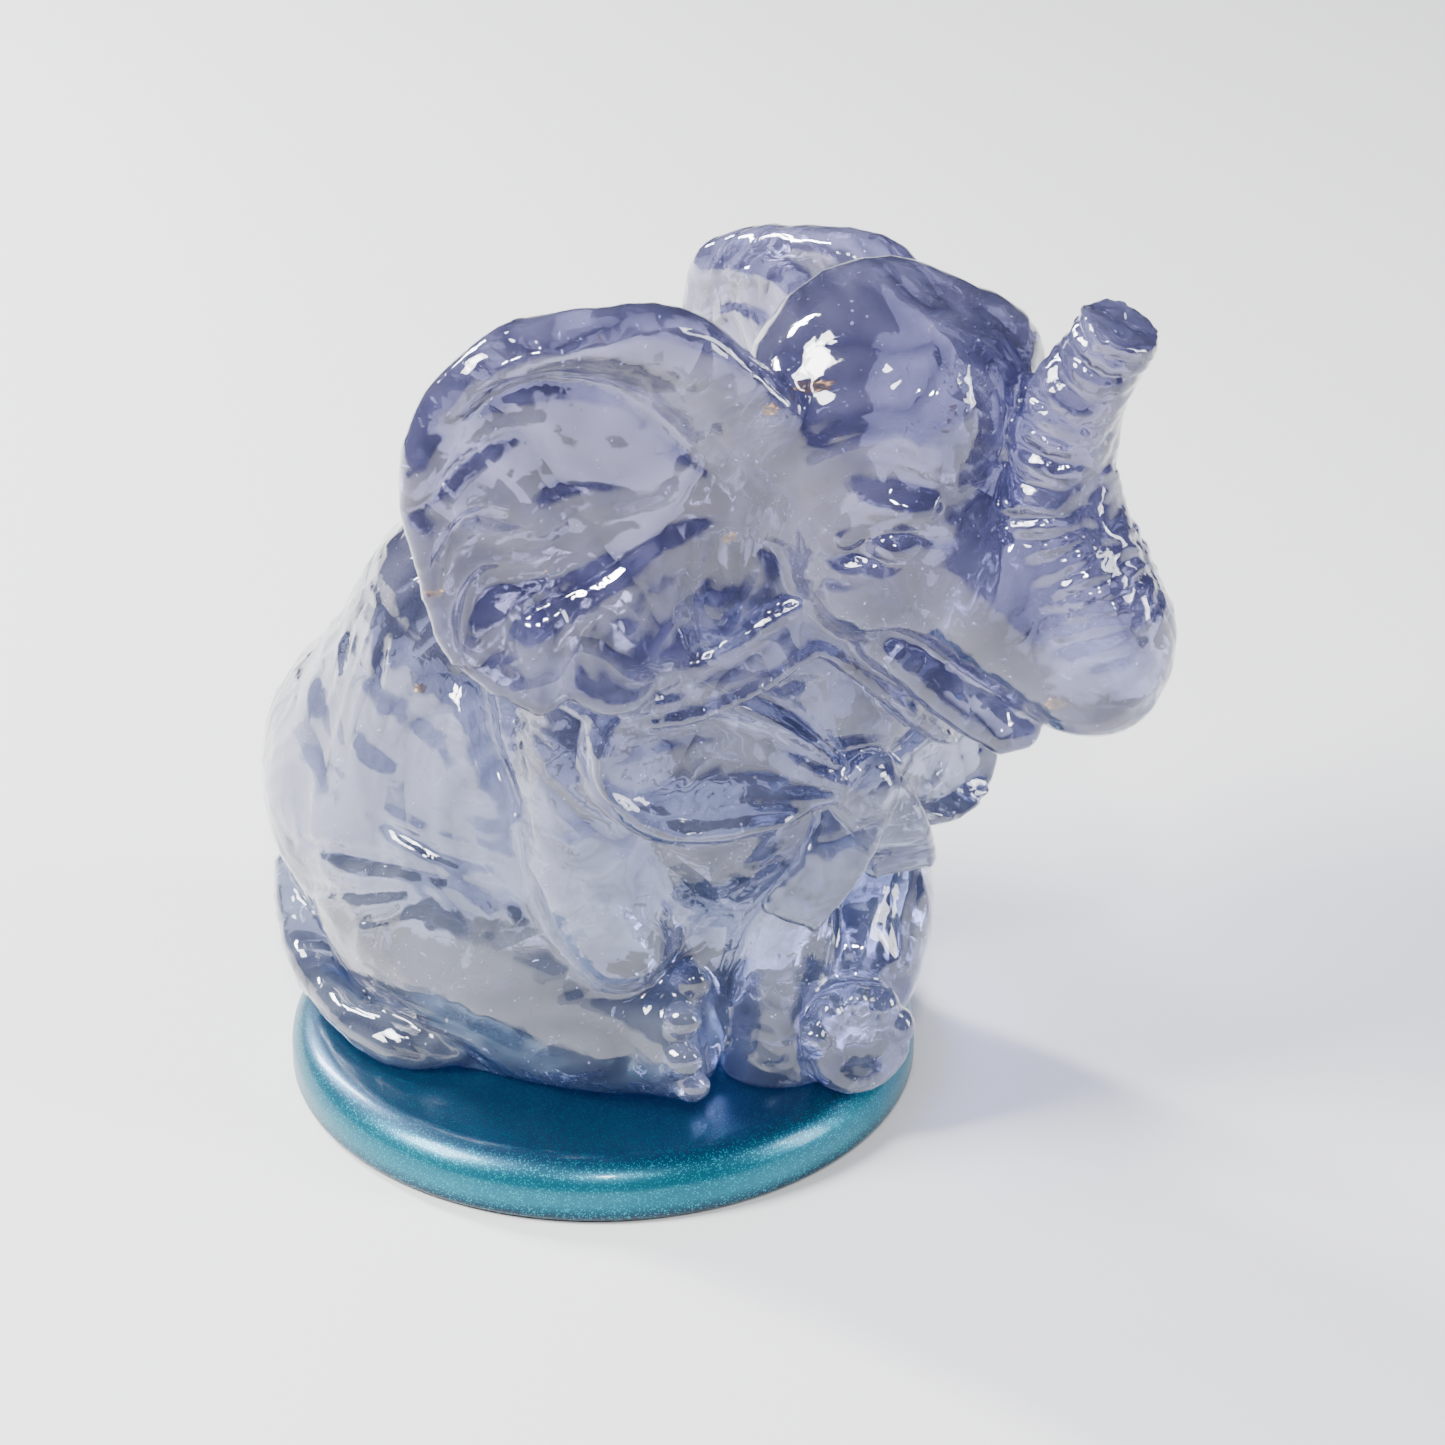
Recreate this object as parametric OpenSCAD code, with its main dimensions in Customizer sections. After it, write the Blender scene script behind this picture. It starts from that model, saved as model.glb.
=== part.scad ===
/* [Base] */
// Diameter of the round teal base
base_d = 60; // [56:1:66]
// Height of the teal base
base_h = 6; // [5:0.5:8]
// Radius of the wide rounded shoulder round the base's top
base_shoulder_r = 3.4; // [1:0.2:3.8]
// Radius of the small rounded edge at the base's foot
base_foot_r = 1; // [0.5:0.1:1.1]

/* [Head and body] */
// Width of the forehead dome
head_w = 26; // [24:1:28]
// Height of the forehead dome
head_h = 28; // [26:1:30]
// Turn of the head to the figure's left, in degrees
head_turn = 8; // [5:1:11]
// Width of the seated rump
rump_w = 40; // [38:1:42]

/* [Ears and trunk] */
// Thickness of an ear
ear_t = 3.2; // [2:0.2:4]
// Depth of the folds that fan across an ear
ear_fold = 0.7; // [0:0.1:1.2]
// Diameter of the trunk at its cut tip
trunk_tip_d = 6.6; // [5:0.2:8]

/* [Bow] */
// Thickness of the ribbon
ribbon_t = 1.8; // [1.2:0.1:2.4]
// Width of the ribbon round the neck
ribbon_w = 6; // [4:0.5:8]
// Length of the larger bow loop
loop_l = 26; // [22:1:28]
// Height of the larger bow loop
loop_h = 15; // [12:1:18]

/* [Inclusions] */
// Thickness of a gold leaf flake
flake_t = 0.3; // [0.2:0.05:0.5]

/* [Hidden] */

// The figure faces -Y, so its right side is -X. The base's underside is z = 0.
base_top = base_h;
clear_resin = [0.62, 0.66, 0.86, 0.6];
teal_resin = [0.05, 0.42, 0.52];
gold_leaf = [0.95, 0.62, 0.18];

// Facets round a member, a dome, the base and its edges, and rings along each span of a member
member_sides = 20;
dome_sides = 36;
base_sides = 96;
edge_sides = 28;
span_rings = 3;
cap_rings = 3;
// Turns of the neck ribbon's band about X, Y and Z
ribbon_tilt = [6, 10, 0];
// Depth of the fold pressed into a bow loop's face
fold_depth = 2;

// Stations along a member: [x, y, z, half width across, half width through].
// The head, trunk, ears and bow are laid out facing straight ahead, then turned together.
trunk_root_stations = [
    [0, -34, 66, 10.5, 9.5], [0, -39.5, 60.5, 9.2, 8.4], [0, -44.5, 56.5, 7.8, 7.2], [0, -48.5, 54.8, 6.6, 6.6]
];
trunk_rise_stations = [
    [0, -50.6, 53.2, 6.2, 6.2], [0, -51.6, 57.5, 6, 6], [0, -49.8, 62, 5.9, 5.9], [0, -47, 66.5, 5.7, 5.7],
    [0, -45.8, 71.5, 5.3, 5.3], [0, -46.6, 77, 4.6, 4.6], [0, -48.8, 82, 3.8, 3.8],
    [0, -50.6, 85.6, trunk_tip_d / 2, trunk_tip_d / 2]
];
jaw_stations = [
    [-3, -28, 60, 5, 5], [-3.5, -34, 56, 4.2, 4], [-3, -39, 51.5, 3.2, 3], [-2.5, -42.5, 48, 2.4, 2.2]
];
right_bow_tail_stations = [
    [-5, -28.5, 38, 2.4, 1.1], [-8.5, -27.5, 33, 3.2, 0.9], [-9.5, -25, 28, 3.6, 0.9]
];
left_bow_tail_stations = [
    [-3.8, -30, 36.8, 1.5, 1.1], [-1.5, -31, 33, 3.0, 1.0], [1.5, -30.8, 28.5, 3.4, 1.0]
];
right_front_leg_stations = [
    [-9, -8, 46, 7.5, 8.5], [-12.5, -9, 38.5, 6.6, 7.5], [-13.5, -10.3, 30, 5.9, 6.3],
    [-12.6, -12, 23.5, 5.1, 5.4]
];
left_front_leg_stations = [
    [3, -15, 34, 7.5, 8], [2.5, -17.5, 24, 6, 6.2], [1, -19, 14, 4.7, 4.8], [0, -19, 8, 5, 5.2]
];
right_hind_leg_stations = [
    [-9, 14, 18, 10.5, 12], [-11, 5, 18, 9.8, 12], [-12, -3, 16, 8.2, 10.4], [-11, -9.5, 14.2, 6.6, 8.4]
];
left_hind_leg_stations = [
    [11, 10, 18, 10.5, 12], [16, -1, 17.5, 9.5, 11.5], [16, -13.5, 16.5, 9, 10.5], [9, -22, 14, 7, 8]
];
tail_stations = [
    [-11, 31, 11, 2.2, 2.4], [-17, 26, 8.8, 1.8, 2.0], [-21.3, 18.5, 8, 1.7, 1.9],
    [-22, 10.5, 8.1, 2.1, 2.4], [-18.8, 4.3, 8.2, 1.6, 1.9]
];

// Feet: centre of the sole's disc, direction the sole faces, radius
right_foot_centre = [-9, -15.5, 13.2];
right_foot_faces = [0.2, -0.97, 0.05];
right_foot_r = 7.5;
left_foot_centre = [1.6, -27.6, 11.2];
left_foot_faces = [-0.55, -0.83, 0.1];
left_foot_r = 5.9;

// Outline of an ear, as radii from its middle at equal angles, starting towards its outer edge
right_ear_radii = [17.3, 18.9, 19.4, 20, 20.5, 20.5, 20, 19, 17.5, 17.5, 18.5, 17.5];
left_ear_radii = [17.5, 19.5, 19, 16.8, 17.5, 19, 19.5, 19, 17.5, 16.5, 17, 17];
right_ear_middle = [-20.6, -9.6, 69.2];
right_ear_out = [-0.66, 0.72, 0.12];
left_ear_middle = [16.6, -11.5, 64.2];
left_ear_out = [0.35, 0.93, 0.05];

// The bow sits under the right cheek. Each loop runs out from the knot.
knot_at = [-4.5, -28.5, 39.5];
right_loop_out = [-0.66, 0.70, 0.28];
left_loop_out = [0.92, -0.25, -0.29];
loop_front = [-0.62, -0.76, 0.12];

// Gold leaf: centre, turn about Z, turn about the flake's own length, length, width
flakes = [
    [[-7.5, -29.5, 77.5], 55, 20, 2.6, 0.6], [[-8.5, -24.5, 76.5], 20, 60, 0.9, 0.7],
    [[-6.5, -34, 70.5], 80, 40, 1.0, 0.7],
    [[-4, -33, 77], 10, 70, 1.2, 0.5], [[-4, -26, 67], 35, 10, 0.9, 0.6],
    [[4, -35, 74], 60, 45, 1.0, 0.5]
];

function unit(v) = v / norm(v);
function square_to(v, along) = unit(v - along * (v * along));

// Point on a smooth curve through a list, in span i at share t of the span
function on_curve(p, i, t) =
    let (n = len(p) - 1, a = p[max(i - 1, 0)], b = p[i], c = p[min(i + 1, n)], d = p[min(i + 2, n)])
    0.5 * (2 * b + (c - a) * t + (2 * a - 5 * b + 4 * c - d) * t * t
        + (3 * b - a - 3 * c + d) * t * t * t);
function curve(p, steps) = [
    for (i = [0:len(p) - 2]) for (s = [0:steps - 1]) on_curve(p, i, s / steps),
    p[len(p) - 1]
];
function place(s) = [s[0], s[1], s[2]];
function ring_direction(s, i) = unit(place(s[min(i + 1, len(s) - 1)]) - place(s[max(i - 1, 0)]));

// Rings of a member as [centre, direction, half width across, half width through],
// with a rounded cap of cap_rings rings at each end
function member_rings(s, caps) = let (last = len(s) - 1) [
    for (k = [cap_rings:-1:1]) let (a = 80 * k / cap_rings, d = ring_direction(s, 0))
        [place(s[0]) - d * s[0][4] * caps[0] * sin(a), d, s[0][3] * cos(a), s[0][4] * cos(a)],
    for (i = [0:last]) [place(s[i]), ring_direction(s, i), s[i][3], s[i][4]],
    for (k = [1:cap_rings]) let (a = 80 * k / cap_rings, d = ring_direction(s, last))
        [place(s[last]) + d * s[last][4] * caps[1] * sin(a), d, s[last][3] * cos(a), s[last][4] * cos(a)]
];

// Skin over a stack of equal rings of points, closed at both ends
module ring_skin(rings) {
    n = len(rings[0]);
    m = len(rings);
    points = [for (r = rings) for (q = r) q];
    polyhedron(points, [
        [for (k = [0:n - 1]) k],
        [for (k = [n - 1:-1:0]) (m - 1) * n + k],
        for (i = [0:m - 2]) for (k = [0:n - 1])
            let (a = i * n + k, b = i * n + (k + 1) % n) each [[a, a + n, b], [b, a + n, b + n]]
    ]);
}

// A tube of changing oval section along a smooth line through its stations
module member(stations, side = [1, 0, 0], caps = [0.8, 0.8]) {
    rings = member_rings(curve(stations, span_rings), caps);
    ring_skin([
        for (r = rings) let (u = square_to(side, r[1]), v = cross(r[1], u))
            [for (k = [0:member_sides - 1]) let (a = 360 * k / member_sides)
                r[0] + u * r[2] * cos(a) + v * r[3] * sin(a)]
    ]);
}

// An ellipsoid with its half sizes along X, Y and Z
module dome(at, half) {
    translate(at) scale(half) sphere(r = 1, $fn = dome_sides);
}

// Everything below the base's top belongs to the base
module above_base() {
    difference() {
        children();
        translate([0, 0, base_top - 50]) cube([200, 200, 100], center = true);
    }
}

// A round rod bent into a ring: a rounded edge of the base at radius ring_r
module base_edge(ring_r, edge_r) {
    rotate_extrude($fn = base_sides) translate([ring_r, 0]) circle(r = edge_r, $fn = edge_sides);
}

// The base: a round pad with a wide rounded shoulder and a small rounded foot
module base_solid() {
    r = base_d / 2;
    top_r = r - base_shoulder_r;
    foot_r = r - base_foot_r;
    shoulder_z = base_h - base_shoulder_r;
    union() {
        cylinder(r = top_r, h = base_h, $fn = base_sides);
        cylinder(r = foot_r, h = shoulder_z, $fn = base_sides);
        translate([0, 0, base_foot_r]) cylinder(r = r, h = shoulder_z - base_foot_r, $fn = base_sides);
        translate([0, 0, base_foot_r]) base_edge(foot_r, base_foot_r);
        translate([0, 0, shoulder_z]) intersection() {
            base_edge(top_r, base_shoulder_r);
            cylinder(r = r + 1, h = base_shoulder_r + 1, $fn = base_sides);
        }
    }
}

module torso_form() {
    hull() {
        dome([-0.5, 8.5, 24.5], [rump_w / 2, 28.5, 21.5]);
        dome([0, 6, 42], [15.5, 17, 17]);
        dome([0, -9, 45], [13.5, 14, 13]);
    }
    neck_form(0);
}

module neck_form(grow) {
    hull() {
        dome([-1, -12, 40], [15 + grow, 14.5 + grow, 14 + grow]);
        dome([-1, -19, 58], [12 + grow, 11.5 + grow, 11 + grow]);
    }
}

// The ribbon follows the neck's own surface, in a band tilted down towards the bow
module neck_ribbon_form() {
    intersection() {
        neck_form(ribbon_t);
        translate([0, -16, 49]) rotate(ribbon_tilt) cube([60, 60, ribbon_w], center = true);
    }
}

module head_form() {
    hull() {
        dome([0, -29, 72.5], [head_w / 2, 12.4, head_h / 2]);
        dome([0, -31.5, 63], [12.5, 10.5, 9]);
    }
}

module flake(f) {
    translate(f[0]) rotate([0, 0, f[1]]) rotate([f[2], 0, 0])
        cube([f[3], f[4], flake_t], center = true);
}

module flake_set() {
    for (f = flakes) flake(f);
}

// A leaf of even thickness in an ear's own plane, cupped and folded like a fan
module ear_form(middle, out, outline, hand) {
    turns = 36;
    rings = 6;
    e1 = unit(out);
    e2 = square_to([0, 0, 1], e1);
    e3 = hand * cross(e2, e1);
    radii = [for (k = [0:turns - 1]) let (t = k * len(outline) / turns, i = floor(t), n = len(outline))
        let (a = outline[(i + n - 1) % n], b = outline[i % n],
             c = outline[(i + 1) % n], d = outline[(i + 2) % n], f = t - i)
        0.5 * (2 * b + (c - a) * f + (2 * a - 5 * b + 4 * c - d) * f * f
            + (3 * b - a - 3 * c + d) * f * f * f)];
    function cup(share, angle) = 3.2 * share * share + ear_fold * share * cos(5 * angle)
        + 1.6 * pow(share, 4) * sin(angle);
    function leaf(share, k, side) = let (a = 360 * k / turns, r = radii[k] * share)
        middle + e1 * r * cos(a) + e2 * r * sin(a)
        + e3 * (cup(share, a) + side * ear_t / 2);
    ring_skin([
        for (j = [1:rings]) [for (k = [0:turns - 1]) leaf((j - 0.5) / rings, k * hand_step(hand, turns) % turns, -1)],
        [for (k = [0:turns - 1]) leaf(1.0, k * hand_step(hand, turns) % turns, 0)],
        for (j = [rings:-1:1]) [for (k = [0:turns - 1]) leaf((j - 0.5) / rings, k * hand_step(hand, turns) % turns, 1)]
    ]);
}

// Direction in which an ear's points are numbered, so that both ears' faces point outwards
function hand_step(hand, turns) = hand > 0 ? turns - 1 : 1;

// Outline of a bow loop: a drop with its point at the knot
function drop_outline(l, h, sides) = [
    for (k = [0:sides - 1]) let (a = 360 * (k + 0.5) / sides)
        [l / 2 * (1 - cos(a)), h / 2 * sin(a) * pow(abs(sin(a / 2)), 0.7)]
];

// A drop-shaped bow loop cast solid, running out from the knot, its inner fold a shallow recess
module loop_form(out, front, l, h, deep) {
    e1 = unit(out);
    e3 = square_to(front, e1);
    e2 = cross(e3, e1);
    multmatrix([
        [e1[0], e2[0], e3[0], knot_at[0]], [e1[1], e2[1], e3[1], knot_at[1]],
        [e1[2], e2[2], e3[2], knot_at[2]], [0, 0, 0, 1]
    ])
        difference() {
            translate([0, 0, -deep / 2]) linear_extrude(height = deep) polygon(drop_outline(l, h, 40));
            translate([ribbon_t, 0, deep / 2 - fold_depth]) linear_extrude(height = deep)
                polygon(drop_outline(l - 2 * ribbon_t, h - 2 * ribbon_t, 40));
        }
}

module trunk_form() {
    member(trunk_root_stations);
    member(trunk_rise_stations, caps = [0.9, 0.15]);
}
module jaw_form() { member(jaw_stations); }
module right_front_leg_form() { member(right_front_leg_stations); }
module left_front_leg_form() { member(left_front_leg_stations, caps = [0.8, 0.4]); }
module right_hind_leg_form() { member(right_hind_leg_stations); }
module left_hind_leg_form() { member(left_hind_leg_stations, side = [0, 0, 1]); }
module tail_form() { member(tail_stations, side = [0, 0, 1]); }

// A round foot seen sole on: a short drum that swells in the middle
module foot_form(centre, faces, r) {
    d = unit(faces);
    member([[centre[0] - 3 * d[0], centre[1] - 3 * d[1], centre[2] - 3 * d[2], r * 0.9, r * 0.9],
        [centre[0], centre[1], centre[2], r, r],
        [centre[0] + 2 * d[0], centre[1] + 2 * d[1], centre[2] + 2 * d[2], r * 0.95, r * 0.95]],
        side = [0, 0, 1], caps = [0.25, 0.25]);
}
module right_foot_form() { foot_form(right_foot_centre, right_foot_faces, right_foot_r); }
module left_foot_form() { foot_form(left_foot_centre, left_foot_faces, left_foot_r); }

module right_ear_form() { ear_form(right_ear_middle, right_ear_out, right_ear_radii, 1); }
module left_ear_form() { ear_form(left_ear_middle, left_ear_out, left_ear_radii, -1); }
module knot_form() { dome(knot_at, [4, 4, 4.2]); }
module right_loop_form() { loop_form(right_loop_out, loop_front, loop_l, loop_h, 7); }
module left_loop_form() { loop_form(left_loop_out, loop_front, loop_l * 0.68, loop_h * 0.72, 6); }
module right_bow_tail_form() { member(right_bow_tail_stations); }
module left_bow_tail_form() { member(left_bow_tail_stations); }

// Turns the head group with its bow towards the figure's left
module turned() {
    rotate([0, 0, head_turn]) children();
}

module base_disc() { color(teal_resin) base_solid(); }

module torso() {
    color(clear_resin) above_base() difference() {
        torso_form();
        turned() head_form();
    }
}
module head() {
    color(clear_resin) turned() difference() {
        head_form();
        flake_set();
    }
}
module trunk() {
    color(clear_resin) turned() difference() {
        trunk_form();
        head_form();
    }
}
module lower_jaw() {
    color(clear_resin) difference() {
        turned() difference() {
            jaw_form();
            head_form();
            trunk_form();
        }
        torso_form();
    }
}
module right_ear() {
    color(clear_resin) difference() {
        turned() difference() {
            right_ear_form();
            head_form();
        }
        torso_form();
    }
}
module left_ear() {
    color(clear_resin) difference() {
        turned() difference() {
            left_ear_form();
            head_form();
        }
        torso_form();
    }
}
module right_front_leg() {
    color(clear_resin) above_base() difference() {
        right_front_leg_form();
        torso_form();
    }
}
module left_front_leg() {
    color(clear_resin) above_base() difference() {
        left_front_leg_form();
        torso_form();
    }
}
module right_hind_leg() {
    color(clear_resin) above_base() difference() {
        right_hind_leg_form();
        torso_form();
        right_front_leg_form();
    }
}
module left_hind_leg() {
    color(clear_resin) above_base() difference() {
        left_hind_leg_form();
        torso_form();
        left_front_leg_form();
    }
}
module right_hind_foot() {
    color(clear_resin) above_base() difference() {
        right_foot_form();
        right_hind_leg_form();
        right_front_leg_form();
        left_front_leg_form();
        torso_form();
    }
}
module left_hind_foot() {
    color(clear_resin) above_base() difference() {
        left_foot_form();
        left_hind_leg_form();
        left_front_leg_form();
        torso_form();
    }
}
module tail() {
    color(clear_resin) above_base() difference() {
        tail_form();
        torso_form();
        right_hind_leg_form();
    }
}
module neck_ribbon() {
    color(clear_resin) difference() {
        neck_ribbon_form();
        torso_form();
        right_front_leg_form();
        turned() {
            head_form();
            jaw_form();
            right_ear_form();
            left_ear_form();
        }
    }
}
module bow_knot() {
    color(clear_resin) difference() {
        turned() knot_form();
        torso_form();
        neck_ribbon_form();
    }
}
module right_bow_loop() {
    color(clear_resin) difference() {
        turned() difference() {
            right_loop_form();
            knot_form();
            right_ear_form();
        }
        torso_form();
        neck_ribbon_form();
        right_front_leg_form();
    }
}
module left_bow_loop() {
    color(clear_resin) difference() {
        turned() difference() {
            left_loop_form();
            knot_form();
            jaw_form();
        }
        torso_form();
        neck_ribbon_form();
    }
}
module right_bow_tail() {
    color(clear_resin) difference() {
        turned() difference() {
            right_bow_tail_form();
            knot_form();
            right_loop_form();
            left_loop_form();
        }
        torso_form();
        left_front_leg_form();
        right_front_leg_form();
    }
}
module left_bow_tail() {
    color(clear_resin) difference() {
        turned() difference() {
            left_bow_tail_form();
            knot_form();
            right_bow_tail_form();
            right_loop_form();
            left_loop_form();
        }
        torso_form();
        left_front_leg_form();
        left_hind_leg_form();
    }
}
module gold_flakes() { color(gold_leaf) turned() flake_set(); }

base_disc();
torso();
head();
lower_jaw();
trunk();
right_ear();
left_ear();
right_front_leg();
left_front_leg();
right_hind_leg();
left_hind_leg();
right_hind_foot();
left_hind_foot();
tail();
neck_ribbon();
bow_knot();
right_bow_loop();
left_bow_loop();
right_bow_tail();
left_bow_tail();
gold_flakes();
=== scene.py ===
from itertools import product
import bpy
import numpy as np
from mathutils import Matrix, Vector


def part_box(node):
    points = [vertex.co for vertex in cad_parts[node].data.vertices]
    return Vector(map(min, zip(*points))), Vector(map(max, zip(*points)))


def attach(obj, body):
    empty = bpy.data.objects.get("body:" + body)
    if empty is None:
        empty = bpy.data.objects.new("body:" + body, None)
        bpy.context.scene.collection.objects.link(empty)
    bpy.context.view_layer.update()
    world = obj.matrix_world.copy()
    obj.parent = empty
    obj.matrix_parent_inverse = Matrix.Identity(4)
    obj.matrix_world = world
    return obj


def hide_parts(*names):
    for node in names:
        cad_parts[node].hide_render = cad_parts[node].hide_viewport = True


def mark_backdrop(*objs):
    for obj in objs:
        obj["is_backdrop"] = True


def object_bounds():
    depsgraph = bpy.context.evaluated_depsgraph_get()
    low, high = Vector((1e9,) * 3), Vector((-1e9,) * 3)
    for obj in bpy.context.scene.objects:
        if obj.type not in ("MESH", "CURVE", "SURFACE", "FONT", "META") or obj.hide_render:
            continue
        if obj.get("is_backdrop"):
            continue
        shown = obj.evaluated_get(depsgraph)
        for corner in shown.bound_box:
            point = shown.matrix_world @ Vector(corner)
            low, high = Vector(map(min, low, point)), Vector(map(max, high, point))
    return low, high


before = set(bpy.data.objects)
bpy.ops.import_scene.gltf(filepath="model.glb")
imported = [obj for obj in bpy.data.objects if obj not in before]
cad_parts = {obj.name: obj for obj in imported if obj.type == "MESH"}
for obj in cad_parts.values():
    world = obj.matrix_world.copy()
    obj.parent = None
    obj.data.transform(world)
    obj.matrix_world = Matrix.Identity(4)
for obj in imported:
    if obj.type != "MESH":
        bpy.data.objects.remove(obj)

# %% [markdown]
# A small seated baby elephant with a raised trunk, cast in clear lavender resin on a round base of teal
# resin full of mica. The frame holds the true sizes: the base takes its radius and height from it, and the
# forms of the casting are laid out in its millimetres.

MM = 0.001
ACROSS, UPRIGHT = (1, 0, 0), (0, 0, 1)
cad_low, cad_high = (np.array(corner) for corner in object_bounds())
base_high = np.array(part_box("base_disc")[1]) / MM
BASE_RADIUS = float(base_high[0])
BASE_TOP = float(base_high[2])
print("frame box in mm:", (cad_low / MM).round(1), (cad_high / MM).round(1))

# %% [markdown]
# The casting is one piece of resin: legs, ears, trunk and bow all run into each other with soft fillets, and
# its creases are pressed into it. Separate meshes that touch would show seams inside clear resin, so the
# whole shape is worked out as a distance instead. For every point of a grid, the distance to the surface is
# found from simple forms, and a smooth minimum joins two forms with a fillet. These are the helpers, and
# like everything up to the meshes they count in millimetres.

# %% Distances and blends
HEAD_TURN = np.radians(8.0)


def turn_about_z(p, angle):
    """Points turned about the Z axis: x' = x cos a - y sin a, y' = x sin a + y cos a."""
    c, s = np.cos(angle), np.sin(angle)
    return np.stack([p[..., 0] * c - p[..., 1] * s, p[..., 0] * s + p[..., 1] * c, p[..., 2]], -1)


def blend_in(a, b, k):
    """Smooth union: the smaller of two distances, with a fillet about k wide where they meet."""
    h = np.clip(0.5 + 0.5 * (a - b) / k, 0, 1)
    return a + (b - a) * h - k * h * (1 - h)


def cut_out(a, b, k):
    """Smooth difference: a with b taken away, its edge rounded over about k."""
    return -blend_in(-a, b, k)


def ellipsoid(p, centre, radii, axes=None):
    """Distance to an ellipsoid: k0 (k0 - 1) / k1, with k0 = |q / r| and k1 = |q / r^2|."""
    q = p - np.asarray(centre, np.float32)
    if axes is not None:
        q = q @ np.asarray(axes, np.float32).T
    r = np.asarray(radii, np.float32)
    k0 = np.linalg.norm(q / r, axis=-1)
    k1 = np.linalg.norm(q / (r * r), axis=-1)
    return k0 * (k0 - 1) / np.maximum(k1, 1e-6)


def smooth_line(points, steps):
    """A Catmull-Rom curve through the points, with so many steps in each span."""
    p = np.asarray(points, float)
    ends = np.vstack([p[:1], p, p[-1:]])
    t = np.linspace(0, 1, steps, endpoint=False)[:, None]
    spans = []
    for i in range(len(p) - 1):
        a, b, c, d = ends[i:i + 4]
        spans.append(0.5 * (2 * b + (c - a) * t + (2 * a - 5 * b + 4 * c - d) * t ** 2
                            + (3 * b - a - 3 * c + d) * t ** 3))
    return np.vstack(spans + [p[-1:]])


def frame_of(along, towards):
    """Three unit axes as rows: the first along, the second nearest to towards, the third square to both."""
    a = np.asarray(along, float)
    a = a / np.linalg.norm(a)
    b = np.asarray(towards, float)
    b = b - a * (a @ b)
    b = b / np.linalg.norm(b)
    return np.array([a, b, np.cross(a, b)])


# %% [markdown]
# Legs, trunk, tail and ribbons are all limbs: an oval section that is carried along a smooth line and
# changes on the way. Each short span of the line is a rounded cone, and the nearest span gives the distance.

# %% Limbs
def limb(p, stations, side, steps=6, trace=False):
    """Distance to a member of changing oval section. Each station is x, y, z, half width along
    side, half width the other way. With trace, also the length along the member, and the two
    section coordinates, of the nearest place on its middle line."""
    s = smooth_line(stations, steps)
    side = np.asarray(side, float)
    best = np.full(p.shape[:-1], 1e9, np.float32)
    where = [np.zeros_like(best) for _ in range(3)] if trace else None
    run = 0.0
    for a, b in zip(s[:-1], s[1:]):
        ab = b[:3] - a[:3]
        length = np.linalg.norm(ab)
        d = ab / length
        u = side - d * (side @ d)
        u = u / np.linalg.norm(u)
        v = np.cross(d, u)
        q = p - a[:3].astype(np.float32)
        t = np.clip(q @ d.astype(np.float32) / length, 0, 1)
        q = q - t[..., None] * ab.astype(np.float32)
        ru = a[3] + (b[3] - a[3]) * t
        rv = a[4] + (b[4] - a[4]) * t
        qd, qu, qv = q @ d.astype(np.float32), q @ u.astype(np.float32), q @ v.astype(np.float32)
        rd = np.minimum(ru, rv)
        k0 = np.sqrt((qu / ru) ** 2 + (qv / rv) ** 2 + (qd / rd) ** 2)
        k1 = np.sqrt((qu / ru ** 2) ** 2 + (qv / rv ** 2) ** 2 + (qd / rd ** 2) ** 2)
        dist = np.where(k0 > 1e-4, k0 * (k0 - 1) / np.maximum(k1, 1e-6), -np.minimum(ru, rv))
        nearer = dist < best
        best = np.where(nearer, dist, best)
        if trace:
            for w, value in zip(where, (run + t * length, qu, qv)):
                w[nearer] = value[nearer]
        run += length
    return (best, where) if trace else best


# %% [markdown]
# Eyelids, the mouth and the skin folds are lines that raise or press the surface by a bell curve of their
# distance. Slow waves, a sum of sines in random directions, give the unevenness of a casting.

# %% Lines and waves
WAVES_IN_LAYER = 4


def line_distance(p, points, steps=4):
    """Plain distance to a smooth line through the points, and the share of its length there."""
    s = smooth_line(points, steps)
    lengths = np.linalg.norm(np.diff(s, axis=0), axis=1)
    run = np.concatenate([[0], np.cumsum(lengths)]) / lengths.sum()
    best = np.full(p.shape[:-1], 1e9, np.float32)
    share = np.zeros_like(best)
    for i in range(len(s) - 1):
        ab = (s[i + 1] - s[i]).astype(np.float32)
        q = p - s[i].astype(np.float32)
        t = np.clip(q @ ab / (ab @ ab), 0, 1)
        dist = np.linalg.norm(q - t[..., None] * ab, axis=-1)
        nearer = dist < best
        best[nearer] = dist[nearer]
        share[nearer] = (run[i] + t * (run[i + 1] - run[i]))[nearer]
    return best, share


def press_line(d, p, points, depth, half):
    """A line pressed into the surface: d + depth exp(-(gap / half)^2). A negative depth raises it."""
    gap, _ = line_distance(p, points)
    return d + depth * np.exp(-(gap / half) ** 2)


def waves(p, size, seed, layers=3):
    """Smooth wandering values near -1 to 1: a sum of sine waves in random directions."""
    rng = np.random.default_rng(seed)
    total = np.zeros(p.shape[:-1], np.float32)
    for k in range(layers):
        for _ in range(WAVES_IN_LAYER):
            d = rng.normal(size=3)
            d = (d / np.linalg.norm(d) * 2 * np.pi / (size / 1.7 ** k)).astype(np.float32)
            total += np.sin(p @ d + np.float32(rng.uniform(0, 6.28))) * np.float32(0.6 ** k * 0.35)
    return total


# %% [markdown]
# The grid itself. Each form only touches a small window of it, so that the work stays short.

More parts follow.
